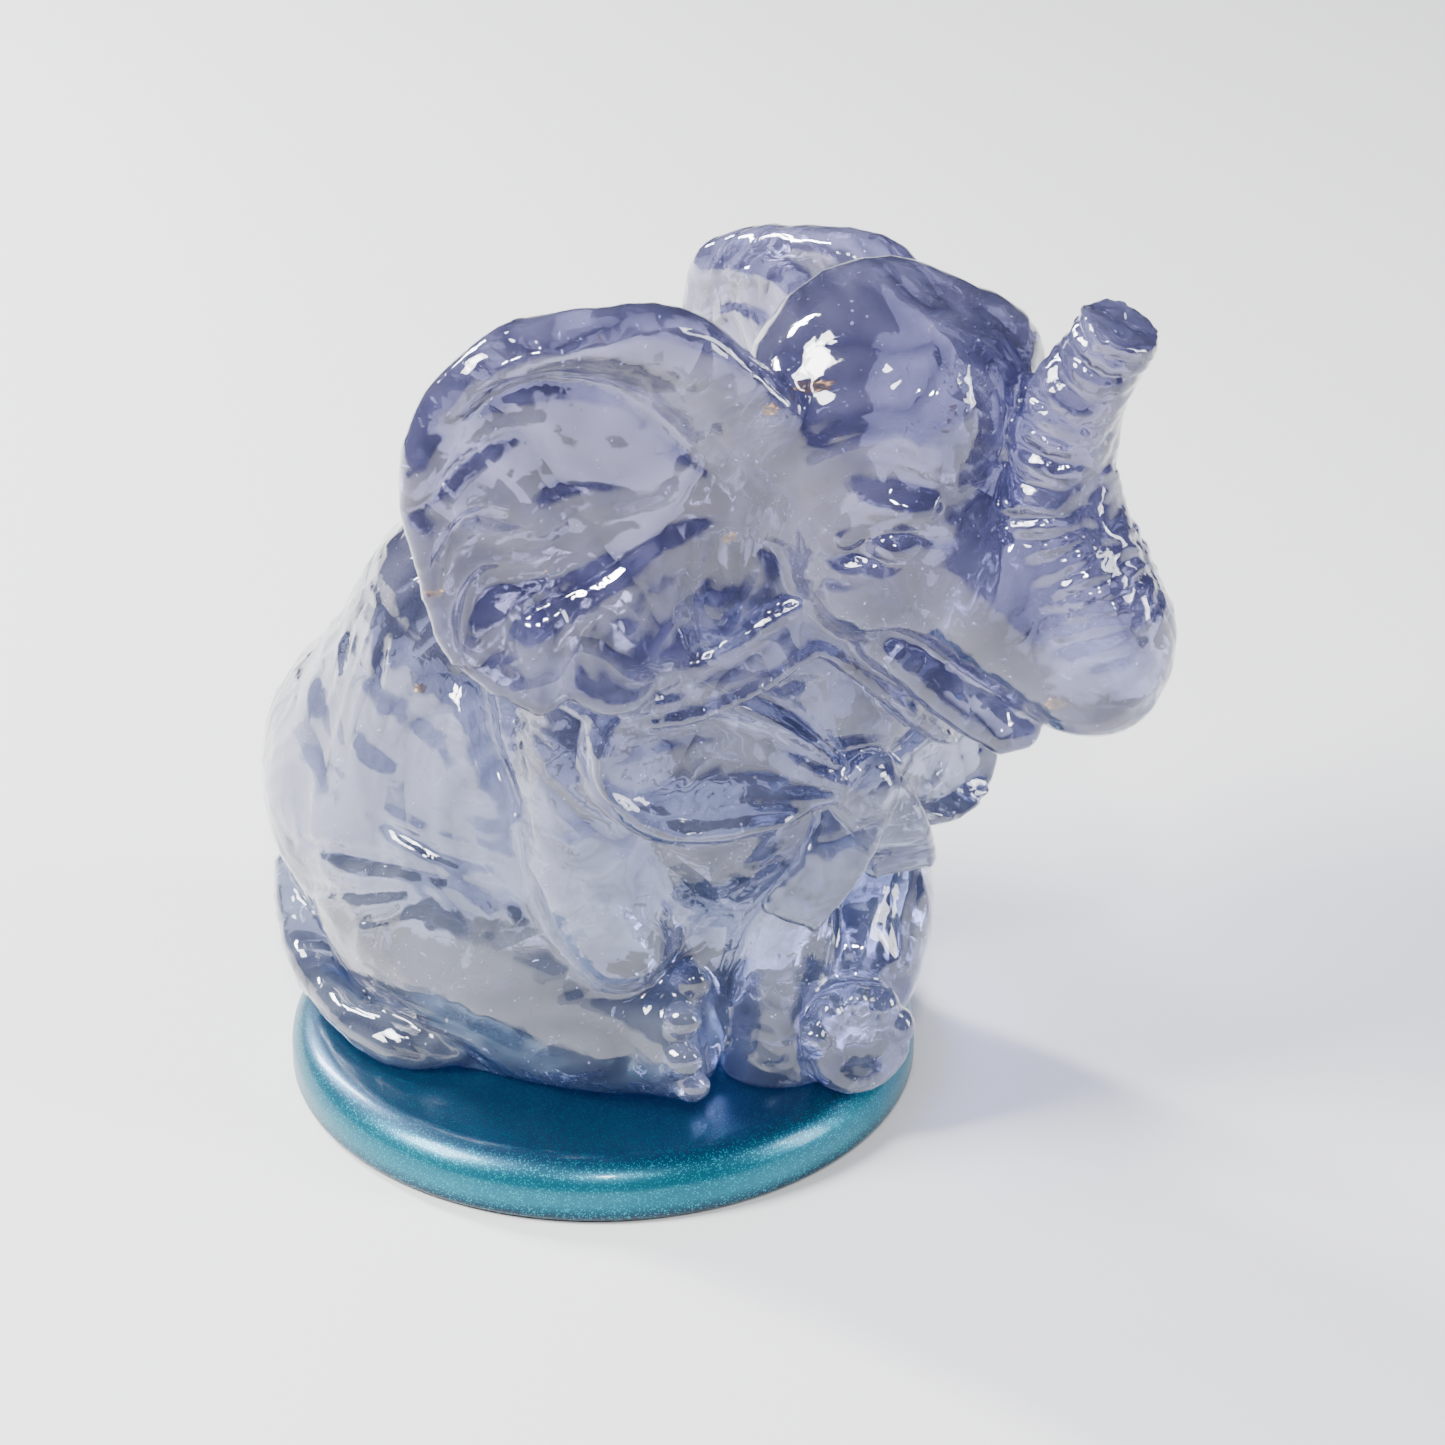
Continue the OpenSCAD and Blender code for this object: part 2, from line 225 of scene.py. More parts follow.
# %% The block of space
class Block:
    """Distances to the casting's surface, sampled on a regular grid, negative inside."""

    def __init__(self, low, high, step, far=6.0):
        self.low, self.step = np.asarray(low, np.float32), step
        self.count = np.ceil((np.asarray(high) - np.asarray(low)) / step).astype(int) + 1
        self.value = np.full(self.count, far, np.float32)

    def window(self, low, high):
        """The slices and the points of the part of the block between two corners."""
        i = np.clip(np.floor((np.asarray(low) - self.low) / self.step).astype(int), 0, self.count - 2)
        j = np.clip(np.ceil((np.asarray(high) - self.low) / self.step).astype(int) + 1, i + 1, self.count)
        axes = [self.low[k] + self.step * np.arange(i[k], j[k], dtype=np.float32) for k in range(3)]
        points = np.stack(np.meshgrid(*axes, indexing="ij"), -1)
        return tuple(slice(a, b) for a, b in zip(i, j)), points

    def change(self, low, high, rule):
        """Replaces a window's distances by rule(distances, points)."""
        where, points = self.window(low, high)
        self.value[where] = rule(self.value[where], points)


# %% [markdown]
# The body sits upright on its haunches: rump, back, shoulders and chest are ellipsoids, and the legs are
# limbs, which are oval sections carried along a smooth line. The feet are short drums with toes round them.

# %% Body, haunches and feet
RIGHT_FRONT_LEG = [(-8.5, -8, 47, 7, 8), (-12, -9, 39, 6.8, 7.8), (-13.6, -10.4, 30.5, 6.2, 6.6),
                   (-12.9, -12.2, 23.4, 5.0, 5.2)]
LEFT_FRONT_LEG = [(2.5, -15, 34, 7, 7.5), (2.4, -18, 24, 5.8, 6), (1.2, -19.6, 14, 4.7, 4.8),
                  (0.6, -20, 6, 5.4, 5.4)]
TAIL = [(-8, 30.6, 13.2, 2.9, 2.9), (-12.4, 27.2, 11, 2.2, 2.4), (-16.4, 21.6, 8.8, 2.0, 2.1),
        (-19.3, 15, 7.8, 1.9, 1.9), (-20.2, 8.5, 7.8, 2.5, 2.3), (-18.0, 3.2, 7.8, 1.2, 1.5)]
RIGHT_SHANK = [(-13, -2, 15, 7, 10), (-12.5, -8, 13.8, 6.2, 8.6), (-10.5, -13, 13, 5.6, 7)]
LEFT_SHANK = [(16.5, -9, 17.5, 9, 11), (16, -16.5, 16.8, 8.8, 10.5), (9.5, -22.5, 13.5, 6.6, 7.6)]
RIGHT_FOOT = dict(centre=(-8.8, -15.2, 13.2), faces=(0.30, -0.94, 0.1), radius=7.0, length=3.8,
                  toes=4, first=22, last=128, rim=3.4)
LEFT_FOOT = dict(centre=(2.6, -27.0, 10.4), faces=(-0.62, -0.76, 0.18), radius=5.2, length=3.6,
                 toes=5, first=-72, last=72, rim=2.0)
TOE = (1.9, 1.7, 1.5)


def body_form(p):
    """Rump, back, shoulders, chest and neck, each an ellipsoid let into the last with a wide fillet."""
    d = ellipsoid(p, (-0.5, 8.5, 24.5), (20, 28.5, 21.5))
    d = blend_in(d, ellipsoid(p, (-0.5, 7, 41), (16, 18, 17.5)), 7)
    d = blend_in(d, ellipsoid(p, (0, -9, 45), (13.5, 14, 13)), 6)
    d = blend_in(d, ellipsoid(p, (-1, -12, 38), (14.5, 14.5, 15)), 5)
    d = blend_in(d, ellipsoid(p, (0.5, -6, 18), (13, 11.5, 14)), 4)
    return blend_in(d, ellipsoid(p, (0, -19.5, 57), (12, 11.5, 11)), 5)


def thigh_form(p, right):
    """A haunch: a big flattened ellipsoid with the shank as a tapering limb in front of it."""
    if right:
        haunch = ellipsoid(p, (-12.5, 4.5, 18), (9.3, 17.5, 13.5), frame_of((1, 0.12, 0.18), (0, 1, 0.12)))
        return blend_in(haunch, limb(p, RIGHT_SHANK, ACROSS), 3)
    haunch = ellipsoid(p, (13.5, 0, 17.5), (11, 18, 12.8), frame_of((1, 0.1, 0.15), (0, 1, 0.1)))
    return blend_in(haunch, limb(p, LEFT_SHANK, (1, 0, 0.2)), 3)


def foot_form(p, centre, faces, radius, length, toes, first, last, rim):
    """A round foot: a short drum with its rims rounded by rim, and toes set along its edge from the first
    angle to the last, in degrees."""
    axes = frame_of(faces, UPRIGHT)
    q = (p - np.asarray(centre, np.float32)) @ axes.T.astype(np.float32)
    r = np.hypot(q[..., 1], q[..., 2])
    dx = np.abs(q[..., 0]) - length + rim
    dr = r - radius + rim
    d = np.hypot(np.maximum(dx, 0), np.maximum(dr, 0)) + np.minimum(np.maximum(dx, dr), 0) - rim
    d = d + 0.8 * np.exp(-(r / (0.55 * radius)) ** 2) * (q[..., 0] > 0)
    for angle in np.radians(np.linspace(first, last, toes)):
        at = np.array([length - 1.0, np.cos(angle) * (radius - 0.9), np.sin(angle) * (radius - 0.9)])
        d = blend_in(d, ellipsoid(q, at, TOE), 0.3)
    return d


# %% [markdown]
# The trunk runs down from the face, turns back on itself and rises to a tip that is cut off flat. Skin folds
# cross it along the inner side, and a shallow seam divides them from the smooth outer side.

# %% Trunk
TRUNK_ROOT = [(0, -33, 67, 11, 10), (0, -38.5, 62, 9.8, 8.8), (0, -43.8, 57.8, 8.4, 7.6),
              (0, -48.4, 54.8, 6.9, 6.8)]
TRUNK_RISE = [(0, -49.8, 53.6, 6.3, 5.6), (0, -51.2, 57.5, 6.2, 5.0), (0, -49.3, 62, 6.2, 5.0),
              (0, -46.6, 66.5, 6.0, 5.0), (0, -45.6, 71.5, 5.5, 4.8), (0, -46.5, 77, 4.7, 4.4),
              (0, -48.8, 82, 3.9, 3.9), (0, -51.4, 87.5, 3.5, 3.5)]
TRUNK_CUT = ((0, -50.7, 85.9), (0, -0.42, 0.91))
FOLDS_PER_MM = 2.0
NOSTRIL, NOSTRIL_APART = (0.8, 1.0, 1.3), 1.35


def trunk_form(p):
    """The root runs down from the face, the rise climbs from it, and the tip is cut off flat."""
    root = limb(p, TRUNK_ROOT, ACROSS)
    rise, (run, across, through) = limb(p, TRUNK_RISE, ACROSS, trace=True)
    folds = np.abs(np.sin(run * FOLDS_PER_MM + 0.3 * across + 0.9 * np.sin(across * 0.8 + run * 0.55)))
    seam = -3.9 + 0.5 * np.sin(run * 0.5)
    inner = 1 / (1 + np.exp(-(through - seam) / 0.3))
    along = np.clip((run - 3.5) / 4, 0, 1) * np.clip((36.5 - run) / 3, 0, 1)
    rise = rise + along * (0.8 * (1 - folds) ** 1.4 * (0.2 + 0.8 * inner) - 0.12)
    rise = rise + 0.5 * along * np.exp(-((through - seam) / 0.55) ** 2)
    point, normal = (np.asarray(v, np.float32) for v in TRUNK_CUT)
    cap = (p - point) @ (normal / np.linalg.norm(normal))
    rise = cut_out(rise, -cap, 0.5)
    for x in (-NOSTRIL_APART, NOSTRIL_APART):
        rise = cut_out(rise, ellipsoid(p, (x, -50.9, 86.2), NOSTRIL), 0.5)
    return blend_in(root, rise, 2.2)


# %% [markdown]
# The head has a high double dome, brows and cheeks. The eyes lie under a raised lid, the mouth is a pressed
# line, and the lower lip is a limb of its own with a curl.

# %% Head, eyes, mouth and lip
EYE = (1.9, 2.1, 1.3)
LID = [(12.4, -31.6, 66.9), (11.9, -33.6, 68.6), (10.6, -36.4, 69.2), (8.8, -38.6, 68.6)]
BELOW_EYE = [(12.2, -32.4, 65.9), (11.4, -34.8, 65.2), (10.0, -37.2, 66.0)]
MOUTH = [(10.5, -30.5, 60.8), (9.4, -34.5, 57.6), (7.2, -38.6, 53.4), (4.5, -42.5, 49.6)]
LIP = [(-4.5, -28.5, 58.5, 5.6, 3.6), (-5.2, -33.5, 55, 4.6, 2.8), (-4.6, -38.5, 50.8, 3.6, 2.4),
       (-3.4, -42.4, 47.4, 2.7, 2.1)]
LIP_CURL = [(-3.8, -42.6, 47.2, 2.3, 1.9), (-3.6, -44.6, 48.0, 1.9, 1.5), (-3.4, -44.4, 49.8, 1.4, 1.2)]


def head_form(p):
    """Domed forehead, lower face, cheeks and brows."""
    d = ellipsoid(p, (0, -28.6, 72.6), (13, 12.6, 14.0))
    d = blend_in(d, ellipsoid(p, (0, -31.5, 63.5), (12.6, 10.5, 9.5)), 4)
    for s in (-1, 1):
        d = blend_in(d, ellipsoid(p, (s * 7.3, -30.8, 60.8), (5.6, 6.2, 4.6)), 2.5)
        d = blend_in(d, ellipsoid(p, (s * 4.4, -36.8, 77.0), (5.4, 3.8, 5.6)), 5)
        d = blend_in(d, ellipsoid(p, (s * 10.2, -34.6, 70.6), (2.6, 4.0, 1.6)), 1.4)
    return d


def face_marks(d, p):
    """Eyes under a folded lid and the crease of the mouth, pressed in or raised on the face."""
    for s in (-1, 1):
        lid, below, mouth = ([(s * x, y, z) for x, y, z in line] for line in (LID, BELOW_EYE, MOUTH))
        d = press_line(d, p, lid, -1.6, 0.62)
        d = press_line(d, p, [(x, y, z - 1.2) for x, y, z in lid], 1.2, 0.7)
        d = press_line(d, p, below, 0.8, 0.55)
        d = blend_in(d, ellipsoid(p, (s * 10.9, -35.2, 66.9), EYE), 0.35)
        d = press_line(d, p, mouth, 1.5, 1.0)
    return d


def lip_form(p):
    """The lower lip: a limb that ends in a small upturned curl."""
    return blend_in(limb(p, LIP, ACROSS), limb(p, LIP_CURL, ACROSS), 0.5)


# %% [markdown]
# Each ear is a sheet in its own plane. Its outline is a radius that changes with the angle, its height has a
# cup shape with folds that fan out from where it is attached, and its upper rim is rolled thick.

# %% Ear outline and folds
RIGHT_EAR = dict(
    centre=(-20.6, -9.8, 68.8), out=(-0.66, 0.72, 0.12), hand=1,
    outline=[15.4, 18.3, 19.3, 19.7, 20.3, 20.6, 20.5, 19.5, 18.6, 18.6, 17.2, 15.2], folds=1.15)
LEFT_EAR = dict(
    centre=(16.8, -11.5, 62.6), out=(0.35, 0.93, 0.05), hand=-1,
    outline=[18.4, 19.8, 17.4, 18.0, 19.8, 20.4, 19.8, 19.5, 17.5, 16.5, 17, 17], folds=0.8)
PINCH_AT = 268
HUB = (-14.0, 1.0)
CUP_DEPTH, RIM_ROLL, HALF_THICK = 3.4, 1.8, 1.3


def upper_rim(angle):
    """1 along the top of an ear's rim, falling to 0 round its lower half."""
    return np.clip(np.sin(np.radians(angle - 6)), 0, 1) ** 0.5


def rim_reach(angle, outline, folded):
    """How far the rim lies from the middle at an angle in degrees: a smooth line through the outline's
    radii, with a slight scallop, and one pinch in the lower edge of a folded ear."""
    between = 360.0 / len(outline)
    ring = smooth_line([(r,) for r in outline[-2:] + list(outline) + outline[:3]], 8)[:, 0]
    at = (np.arange(len(ring)) / 8.0 - 2) * between
    reach = np.interp(angle, at, ring).astype(np.float32)
    reach = reach + 0.3 * np.sin(np.radians(angle) * 7 + 1)
    pinch = np.exp(-((angle - PINCH_AT) / 6.0) ** 2) * folded
    return reach - 1.8 * pinch, pinch


def fanned_folds(u, v, share, angle, folds):
    """Folds that fan out from the hub: |sin| pleats and thin streaks, fading into the rolled rim."""
    fan = np.arctan2(v - HUB[1], u - HUB[0])
    far = np.clip(np.hypot(u - HUB[0], v - HUB[1]) / 28, 0, 1)
    sway = fan + 0.10 * np.sin(np.hypot(u, v) * 0.45) + 0.25 * far ** 2
    pleat = np.abs(np.sin(sway * 3.3 + 0.9)) ** 0.8 * 3.0 + 0.8 * np.abs(np.sin(sway * 8.0 + 0.4))
    calm = 1 - np.clip((share - 0.72) / 0.22, 0, 1) ** 0.7 * upper_rim(angle)
    streak = np.exp(-(np.sin(sway * 11.0 + 2.0 * far + 0.6) / 0.28) ** 2)
    pleat = pleat - 0.7 * streak * far
    return folds * (pleat - 1.2) * far * calm * np.clip(1.12 - share, 0, 1) ** 0.25


# %% [markdown]
# The whole ear is the space within half a thickness of that height, cut off round the outline. Taking the
# distance straight up is too long where the sheet is steep, so it is divided by the slope of the cup.

# %% Whole ear
def ear_form(p, centre, out, hand, outline, folds):
    """A sheet in its own plane: its height is a cup, plus folds that fan from the inner edge, plus a
    rolled rim; its thickness swells at the rim."""
    e1 = np.asarray(out, float) / np.linalg.norm(out)
    e2 = np.array([0, 0, 1.0]) - e1 * e1[2]
    e2 = e2 / np.linalg.norm(e2)
    e3 = hand * np.cross(e2, e1)
    q = (p - np.asarray(centre, np.float32)) @ np.array([e1, e2, e3]).T.astype(np.float32)
    u, v, w = q[..., 0], q[..., 1], q[..., 2]
    angle = np.degrees(np.arctan2(v, u)) % 360
    reach, pinch = rim_reach(angle, outline, folds > 1)
    r = np.hypot(u, v)
    share = r / reach
    cup = CUP_DEPTH * share ** 2.2 - 0.5
    height = cup + fanned_folds(u, v, share, angle, folds)
    broad = 0.12 + 0.10 * np.clip((angle - 60) / 70, 0, 1)
    roll = np.exp(-np.clip((0.88 - share) / broad, -9, 9) ** 2) * upper_rim(angle)
    height = height + RIM_ROLL * roll - 1.6 * pinch * np.clip(share * 1.6 - 0.6, 0, 1)
    half = HALF_THICK + 1.3 * roll + 0.35 * (1 - share)
    sheet = (np.abs(w - height) / np.sqrt(1 + (6.8 * share / reach) ** 2)) - half
    return -blend_in(-sheet, -(r - reach), 1.8)


# %% [markdown]
# A ribbon is tied round the neck and makes a bow with two loops and two tails. In this casting the loops are
# solid drops with a hollow pressed in and folds that gather at the knot.

# %% Ribbon and bow
NECK_RIBBON = [(-15.5, -5, 51), (-17.2, -12, 50.4), (-14.8, -19.5, 51), (-10.8, -25.2, 54.2),
               (-7.4, -29.2, 57.6), (-3.4, -31.6, 54.6), (0.8, -33.4, 50), (4.8, -34, 46), (8.6, -33.4, 43.4)]
RIGHT_END = [(-5, -29.5, 38.5), (-8.2, -28.4, 33), (-9.8, -25.4, 27.5)]
LEFT_END = [(-4.2, -30.6, 38), (-2.2, -31.8, 33.5), (1.2, -30.8, 28.5)]
RIGHT_LOOP = dict(knot=(-4.5, -28.2, 39.5), out=(-0.66, 0.70, 0.28), front=(-0.62, -0.76, 0.12),
                  length=25, height=17, deep=6.5)
LEFT_LOOP = dict(knot=(-4.5, -28.5, 39.5), out=(0.92, -0.25, -0.22), front=(-0.50, -0.84, 0.12),
                 length=18.5, height=11.5, deep=5.5)
KNOT, KNOT_RADII = (-4.6, -29.6, 39.4), (3.3, 3.2, 3.9)


def ribbon(p, points, width, facing, hem_height, thick=0.9):
    """A band along a smooth line: wide across, thin through, its long edges thickened into a hem."""
    stations = [(*q, width, thick) for q in points]
    d, (run, across, through) = limb(p, stations, facing, steps=4, trace=True)
    hem = np.exp(-((np.abs(across) - width * 0.82) / (0.16 * width)) ** 2)
    return d - hem_height * hem - 0.05 * np.sin(run * 1.1 + across)


def bow_loop(p, knot, out, front, length, height, deep):
    """A drop-shaped loop cast solid: a raised band all round it, a hollow inside, folds from the knot."""
    e1, e3, _ = frame_of(out, front)
    e2 = np.cross(e3, e1)
    q = (p - np.asarray(knot, np.float32)) @ np.array([e1, e2, e3]).T.astype(np.float32)
    u, v, w = q[..., 0], q[..., 1], q[..., 2]
    s = np.clip(u / length, 1e-3, 1)
    half = height / 2 * np.clip(np.sin(np.pi * s ** 1.25), 0, 1) ** 0.62 * (0.55 + 0.45 * s) + 0.8
    side = v / half
    rim = np.abs(v) - half
    bend = 1.1 * np.sin(np.pi * s) - 0.9 * (side ** 2)
    fold = 0.65 * np.abs(np.sin(side * 4.6 + 1.6 * np.sin(s * 4))) * (1.15 - s)
    fold = fold - 0.85 * np.exp(-((np.abs(side) - 0.80) / 0.11) ** 2) * (1 + 0.4 * np.sin(s * 19 + side * 3))
    hollow = 2.0 * np.exp(-(side / 0.62) ** 4) * np.exp(-((s - 0.56) / 0.33) ** 4)
    top = deep / 2 + bend - fold - hollow
    slab = np.maximum(w - top, -w - deep / 2)
    ends = np.maximum(-u - 1.5, u - length)
    return -blend_in(-np.maximum(rim * 0.85, ends), -slab, 1.4)


# %% [markdown]
# Skin folds of the flank, the armpit and the haunch. Each is a line, a depth and a half width. The fold is
# pressed in along its middle and has a low swelling beside it, and it fades out at both ends.

# %% Skin folds
SKIN_FOLDS = [
    ([(-15.6, 2.2, 46.5), (-15.9, 0.8, 43.5), (-16.3, -0.6, 39.8), (-16.9, -3.4, 35.8)], 2.2, 0.9),
    ([(-15.2, 4.6, 46.0), (-15.9, 3.2, 42.8), (-16.6, 1.2, 38.6)], 0.6, 0.6),
    ([(-12.2, 19.6, 44.5), (-13.8, 19.1, 41.8)], 0.6, 0.6),
    ([(-15.0, 12.9, 46.2), (-16.0, 13.0, 43.0)], 0.6, 0.6),
    ([(-18.4, 12.5, 31.2), (-19.4, 7.5, 30.4), (-19.6, 2.0, 29.8), (-19.2, -4.0, 30.2), (-18.6, -8.4, 29.2)],
     0.6, 0.55),
    ([(-17.0, 23.0, 23.2), (-19.4, 17.0, 25.6), (-20.6, 9.0, 27.4), (-20.4, 3.0, 27.8)], 0.6, 0.7),
    ([(-17.4, 23.0, 19.0), (-20.2, 15.5, 22.0), (-21.4, 8.5, 24.8), (-20.6, 3.6, 26.6)], 0.5, 0.6),
    ([(-20.2, 14.5, 18.6), (-21.6, 8.5, 22.4), (-20.8, 3.4, 25.6)], 0.5, 0.6),
    ([(-20.6, 8.0, 17.4), (-21.2, 5.0, 21.6), (-20.4, 2.6, 24.8)], 0.4, 0.6),
]


def press_skin_folds(d, p):
    """Every skin fold pressed into the distances: a bell curve across it, a sine curve along it."""
    for points, depth, half in SKIN_FOLDS:
        gap, share = line_distance(p, points)
        d = d + 1.3 * depth * np.exp(-(gap / half) ** 2) * np.sin(np.pi * np.clip(share, 0.08, 0.92)) ** 0.5
        beside = np.exp(-((gap - 2.2 * half) / half) ** 2)
        d = d - 0.35 * depth * beside * np.sin(np.pi * np.clip(share, 0.02, 0.98))
    return d


def add_cast_unevenness(block, touched=2.5, height=0.16):
    """Slow waves and thin flow lines in the distances near the skin, like those of a cast surface."""
    near = np.abs(block.value) < touched
    points = (block.low + block.step * np.argwhere(near)).astype(np.float32)
    flow = waves(points, 24.0, 31, 2)
    lines = np.exp(-(np.sin(flow * 7.0) / 0.30) ** 2)
    block.value[near] += height * waves(points, 9.0, 32, 2) - height * lines


# %% [markdown]
# Now the members are joined one after another, each inside its own window and with its own fillet. The head,
# ears, trunk and bow are laid out straight and turned together by a few degrees, so their windows are
# turned too.

# %% Joining the members
STEP = 0.58
LOW, HIGH = (-37.0, -60.0, 4.0), (31.0, 39.5, 91.0)


def join(block, low, high, fillet, form, turned=False):
    """Joins form(p) to the block between two corners. A turned member is laid out straight: its window is
    turned with the head, and its points are turned back."""
    if not turned:
        block.change(low, high, lambda d, p: blend_in(d, form(p), fillet))
        return
    corners = np.array([(x, y, z) for x, y, z in product(*zip(low, high))])
    corners = turn_about_z(corners, HEAD_TURN)
    block.change(corners.min(0), corners.max(0), lambda d, p: blend_in(
        d, form(turn_about_z(p, -HEAD_TURN).astype(np.float32)), fillet))


def join_body(block):
    """Trunk of the body, haunches, front legs, feet, the skirt of resin under the rump, tail and throat."""
    block.change((-26, -34, 4), (26, 39.5, 75), lambda d, p: np.minimum(d, body_form(p)))
    join(block, (-28, -24, 4), (4, 30, 38), 1.0, lambda p: thigh_form(p, True))
    join(block, (-4, -36, 4), (31, 25, 38), 1.0, lambda p: thigh_form(p, False))
    join(block, (-24, -22, 14), (2, 6, 58), 1.0, lambda p: limb(p, RIGHT_FRONT_LEG, ACROSS))
    join(block, (-9, -29, 4), (14, -5, 44), 1.2, lambda p: limb(p, LEFT_FRONT_LEG, ACROSS))
    join(block, (-22, -28, 4), (4, -4, 26), 0.5, lambda p: foot_form(p, **RIGHT_FOOT))
    join(block, (-10, -38, 4), (14, -16, 24), 0.5, lambda p: foot_form(p, **LEFT_FOOT))
    join(block, (-26, -8, 3), (4, 36, 14), 1.5, lambda p: ellipsoid(p, (-9.5, 12, 6.5), (10, 17, 2.6)))
    join(block, (-28, -2, 4), (-2, 38, 20), 0.5, lambda p: limb(p, TAIL, UPRIGHT))
    join(block, (-8, -38, 36), (14, -12, 58), 3.0, lambda p: ellipsoid(p, (3.5, -24.5, 47), (8, 8.5, 8)))


def join_head(block):
    """Head with its face, trunk, lip and both ears, all turned."""
    join(block, (-16, -46, 50), (16, -12, 90), 2.0, lambda p: face_marks(head_form(p), p), True)
    join(block, (-14, -60, 44), (14, -22, 90), 1.5, trunk_form, True)
    join(block, (-13, -49, 43), (4, -22, 64), 0.5, lip_form, True)
    join(block, (-44, -34, 42), (4, 14, 92), 0.8, lambda p: ear_form(p, **RIGHT_EAR), True)
    join(block, (8, -34, 40), (32, 12, 88), 0.8, lambda p: ear_form(p, **LEFT_EAR), True)


def join_bow(block):
    """Neck ribbon, both loops, both ends and the knot."""
    join(block, (-24, -38, 38), (18, 2, 62), 0.4,
         lambda p: ribbon(p, NECK_RIBBON, 2.7, (0.15, 0.1, 1), 0.75))
    join(block, (-36, -42, 28), (4, 0, 58), 0.5, lambda p: bow_loop(p, **RIGHT_LOOP), True)
    join(block, (-8, -44, 24), (18, -18, 50), 0.5, lambda p: bow_loop(p, **LEFT_LOOP), True)
    join(block, (-13, -38, 20), (8, -18, 44), 0.4,
         lambda p: ribbon(p, RIGHT_END, 3.2, (0.62, -0.78, 0.15), 0.35), True)
    join(block, (-8, -40, 20), (8, -22, 44), 0.4,
         lambda p: ribbon(p, LEFT_END, 3.2, (0.62, -0.78, 0.05), 0.35), True)
    join(block, (-11, -36, 32), (2, -22, 46), 0.4, lambda p: ellipsoid(p, KNOT, KNOT_RADII), True)


block = Block(LOW, HIGH, STEP)
join_body(block)
join_head(block)
join_bow(block)
block.change((-26, -30, 6), (8, 34, 60), press_skin_folds)
add_cast_unevenness(block)
print("grid points:", block.value.size, "inside:", int((block.value < 0).sum()))

# %% [markdown]
# The surface is taken out of the grid by surface nets: one vertex in every grid cell that the surface goes
# through and a four-sided face round every grid edge that it crosses. That gives an even, closed skin.

# %% Skin of the casting
def sample(block, points):
    """Distance at points by straight-line interpolation between grid values, and its slope."""
    g = np.clip((points - block.low) / block.step, 0, np.array(block.count) - 1.001)
    i = np.floor(g).astype(int)
    f = (g - i)[..., None]
    corner = {}
    for a in (0, 1):
        for b in (0, 1):
            for c in (0, 1):
                corner[a, b, c] = block.value[i[:, 0] + a, i[:, 1] + b, i[:, 2] + c][:, None]
    wx, wy, wz = ((1 - f[:, k], f[:, k]) for k in range(3))
    value = sum(corner[a, b, c] * wx[a] * wy[b] * wz[c] for a, b, c in corner)
    slope = np.concatenate([
        sum((1 if a else -1) * corner[a, b, c] * wy[b] * wz[c] for a, b, c in corner),
        sum((1 if b else -1) * corner[a, b, c] * wx[a] * wz[c] for a, b, c in corner),
        sum((1 if c else -1) * corner[a, b, c] * wx[a] * wy[b] for a, b, c in corner)], 1) / block.step
    return value[:, 0], slope


# %% [markdown]
# Grid points all on their own are dropped first, then the net is drawn over the crossed cells and evened out.

# %% Net over the surface
JUST_OUTSIDE = 0.05


def drop_lone_points(block):
    """A grid point whose six neighbours all lie on the other side of the skin changes sides, because it
    would become a speck or a pinhole of its own."""
    inside = block.value < 0
    around = np.zeros(inside.shape, np.int8)
    for axis in range(3):
        around += np.roll(inside, 1, axis).astype(np.int8) + np.roll(inside, -1, axis).astype(np.int8)
    speck = inside & (around == 0)
    pinhole = ~inside & (around == 6)
    block.value[speck] = JUST_OUTSIDE
    block.value[pinhole] = -JUST_OUTSIDE
    print("specks dropped:", int(speck.sum()), "pinholes filled:", int(pinhole.sum()))


def cell_vertices(block, inside):
    """A vertex in every cell whose eight corners aren't all on one side, at the mean of the places where the
    surface crosses the cell's edges; also the number of each cell's vertex, -1 where there is none."""
    full = np.zeros(np.array(inside.shape) - 1, np.int8)
    corners = [(a, b, c) for a in (0, 1) for b in (0, 1) for c in (0, 1)]
    for a, b, c in corners:
        full += inside[a:a + full.shape[0], b:b + full.shape[1], c:c + full.shape[2]]
    cells = np.argwhere((full > 0) & (full < 8))
    number = np.full(full.shape, -1)
    number[tuple(cells.T)] = np.arange(len(cells))
    total, hits = np.zeros((len(cells), 3)), np.zeros(len(cells))
    for start in corners:
        for axis in [k for k in range(3) if not start[k]]:
            end = tuple(v + (k == axis) for k, v in enumerate(start))
            va = block.value[tuple((cells + start).T)]
            vb = block.value[tuple((cells + end).T)]
            crossed = (va < 0) != (vb < 0)
            t = np.where(crossed, va / np.where(crossed, va - vb, 1), 0)
            total += crossed[:, None] * (np.array(start) + t[:, None] * (np.array(end) - np.array(start)))
            hits += crossed
    return block.low + block.step * (cells + total / hits[:, None]), number


def crossed_edge_faces(inside, number):
    """A four-sided face through the four cells round every grid edge that changes sides, turned outwards."""
    faces = []
    for axis in range(3):
        one, two = (axis + 1) % 3, (axis + 2) % 3
        o1, o2 = [(np.arange(3) == k).astype(int) for k in (one, two)]
        ahead = np.diff(inside.astype(np.int8), axis=axis)
        e = np.argwhere(ahead != 0)
        e = e[(e[:, one] > 0) & (e[:, one] < number.shape[one])
              & (e[:, two] > 0) & (e[:, two] < number.shape[two])]
        quad = np.stack([number[tuple(q.T)] for q in (e - o1 - o2, e - o2, e, e - o1)], 1)
        flip = ahead[tuple(e.T)] > 0
        quad[flip] = quad[flip][:, ::-1]
        faces.append(quad)
    return np.vstack(faces)


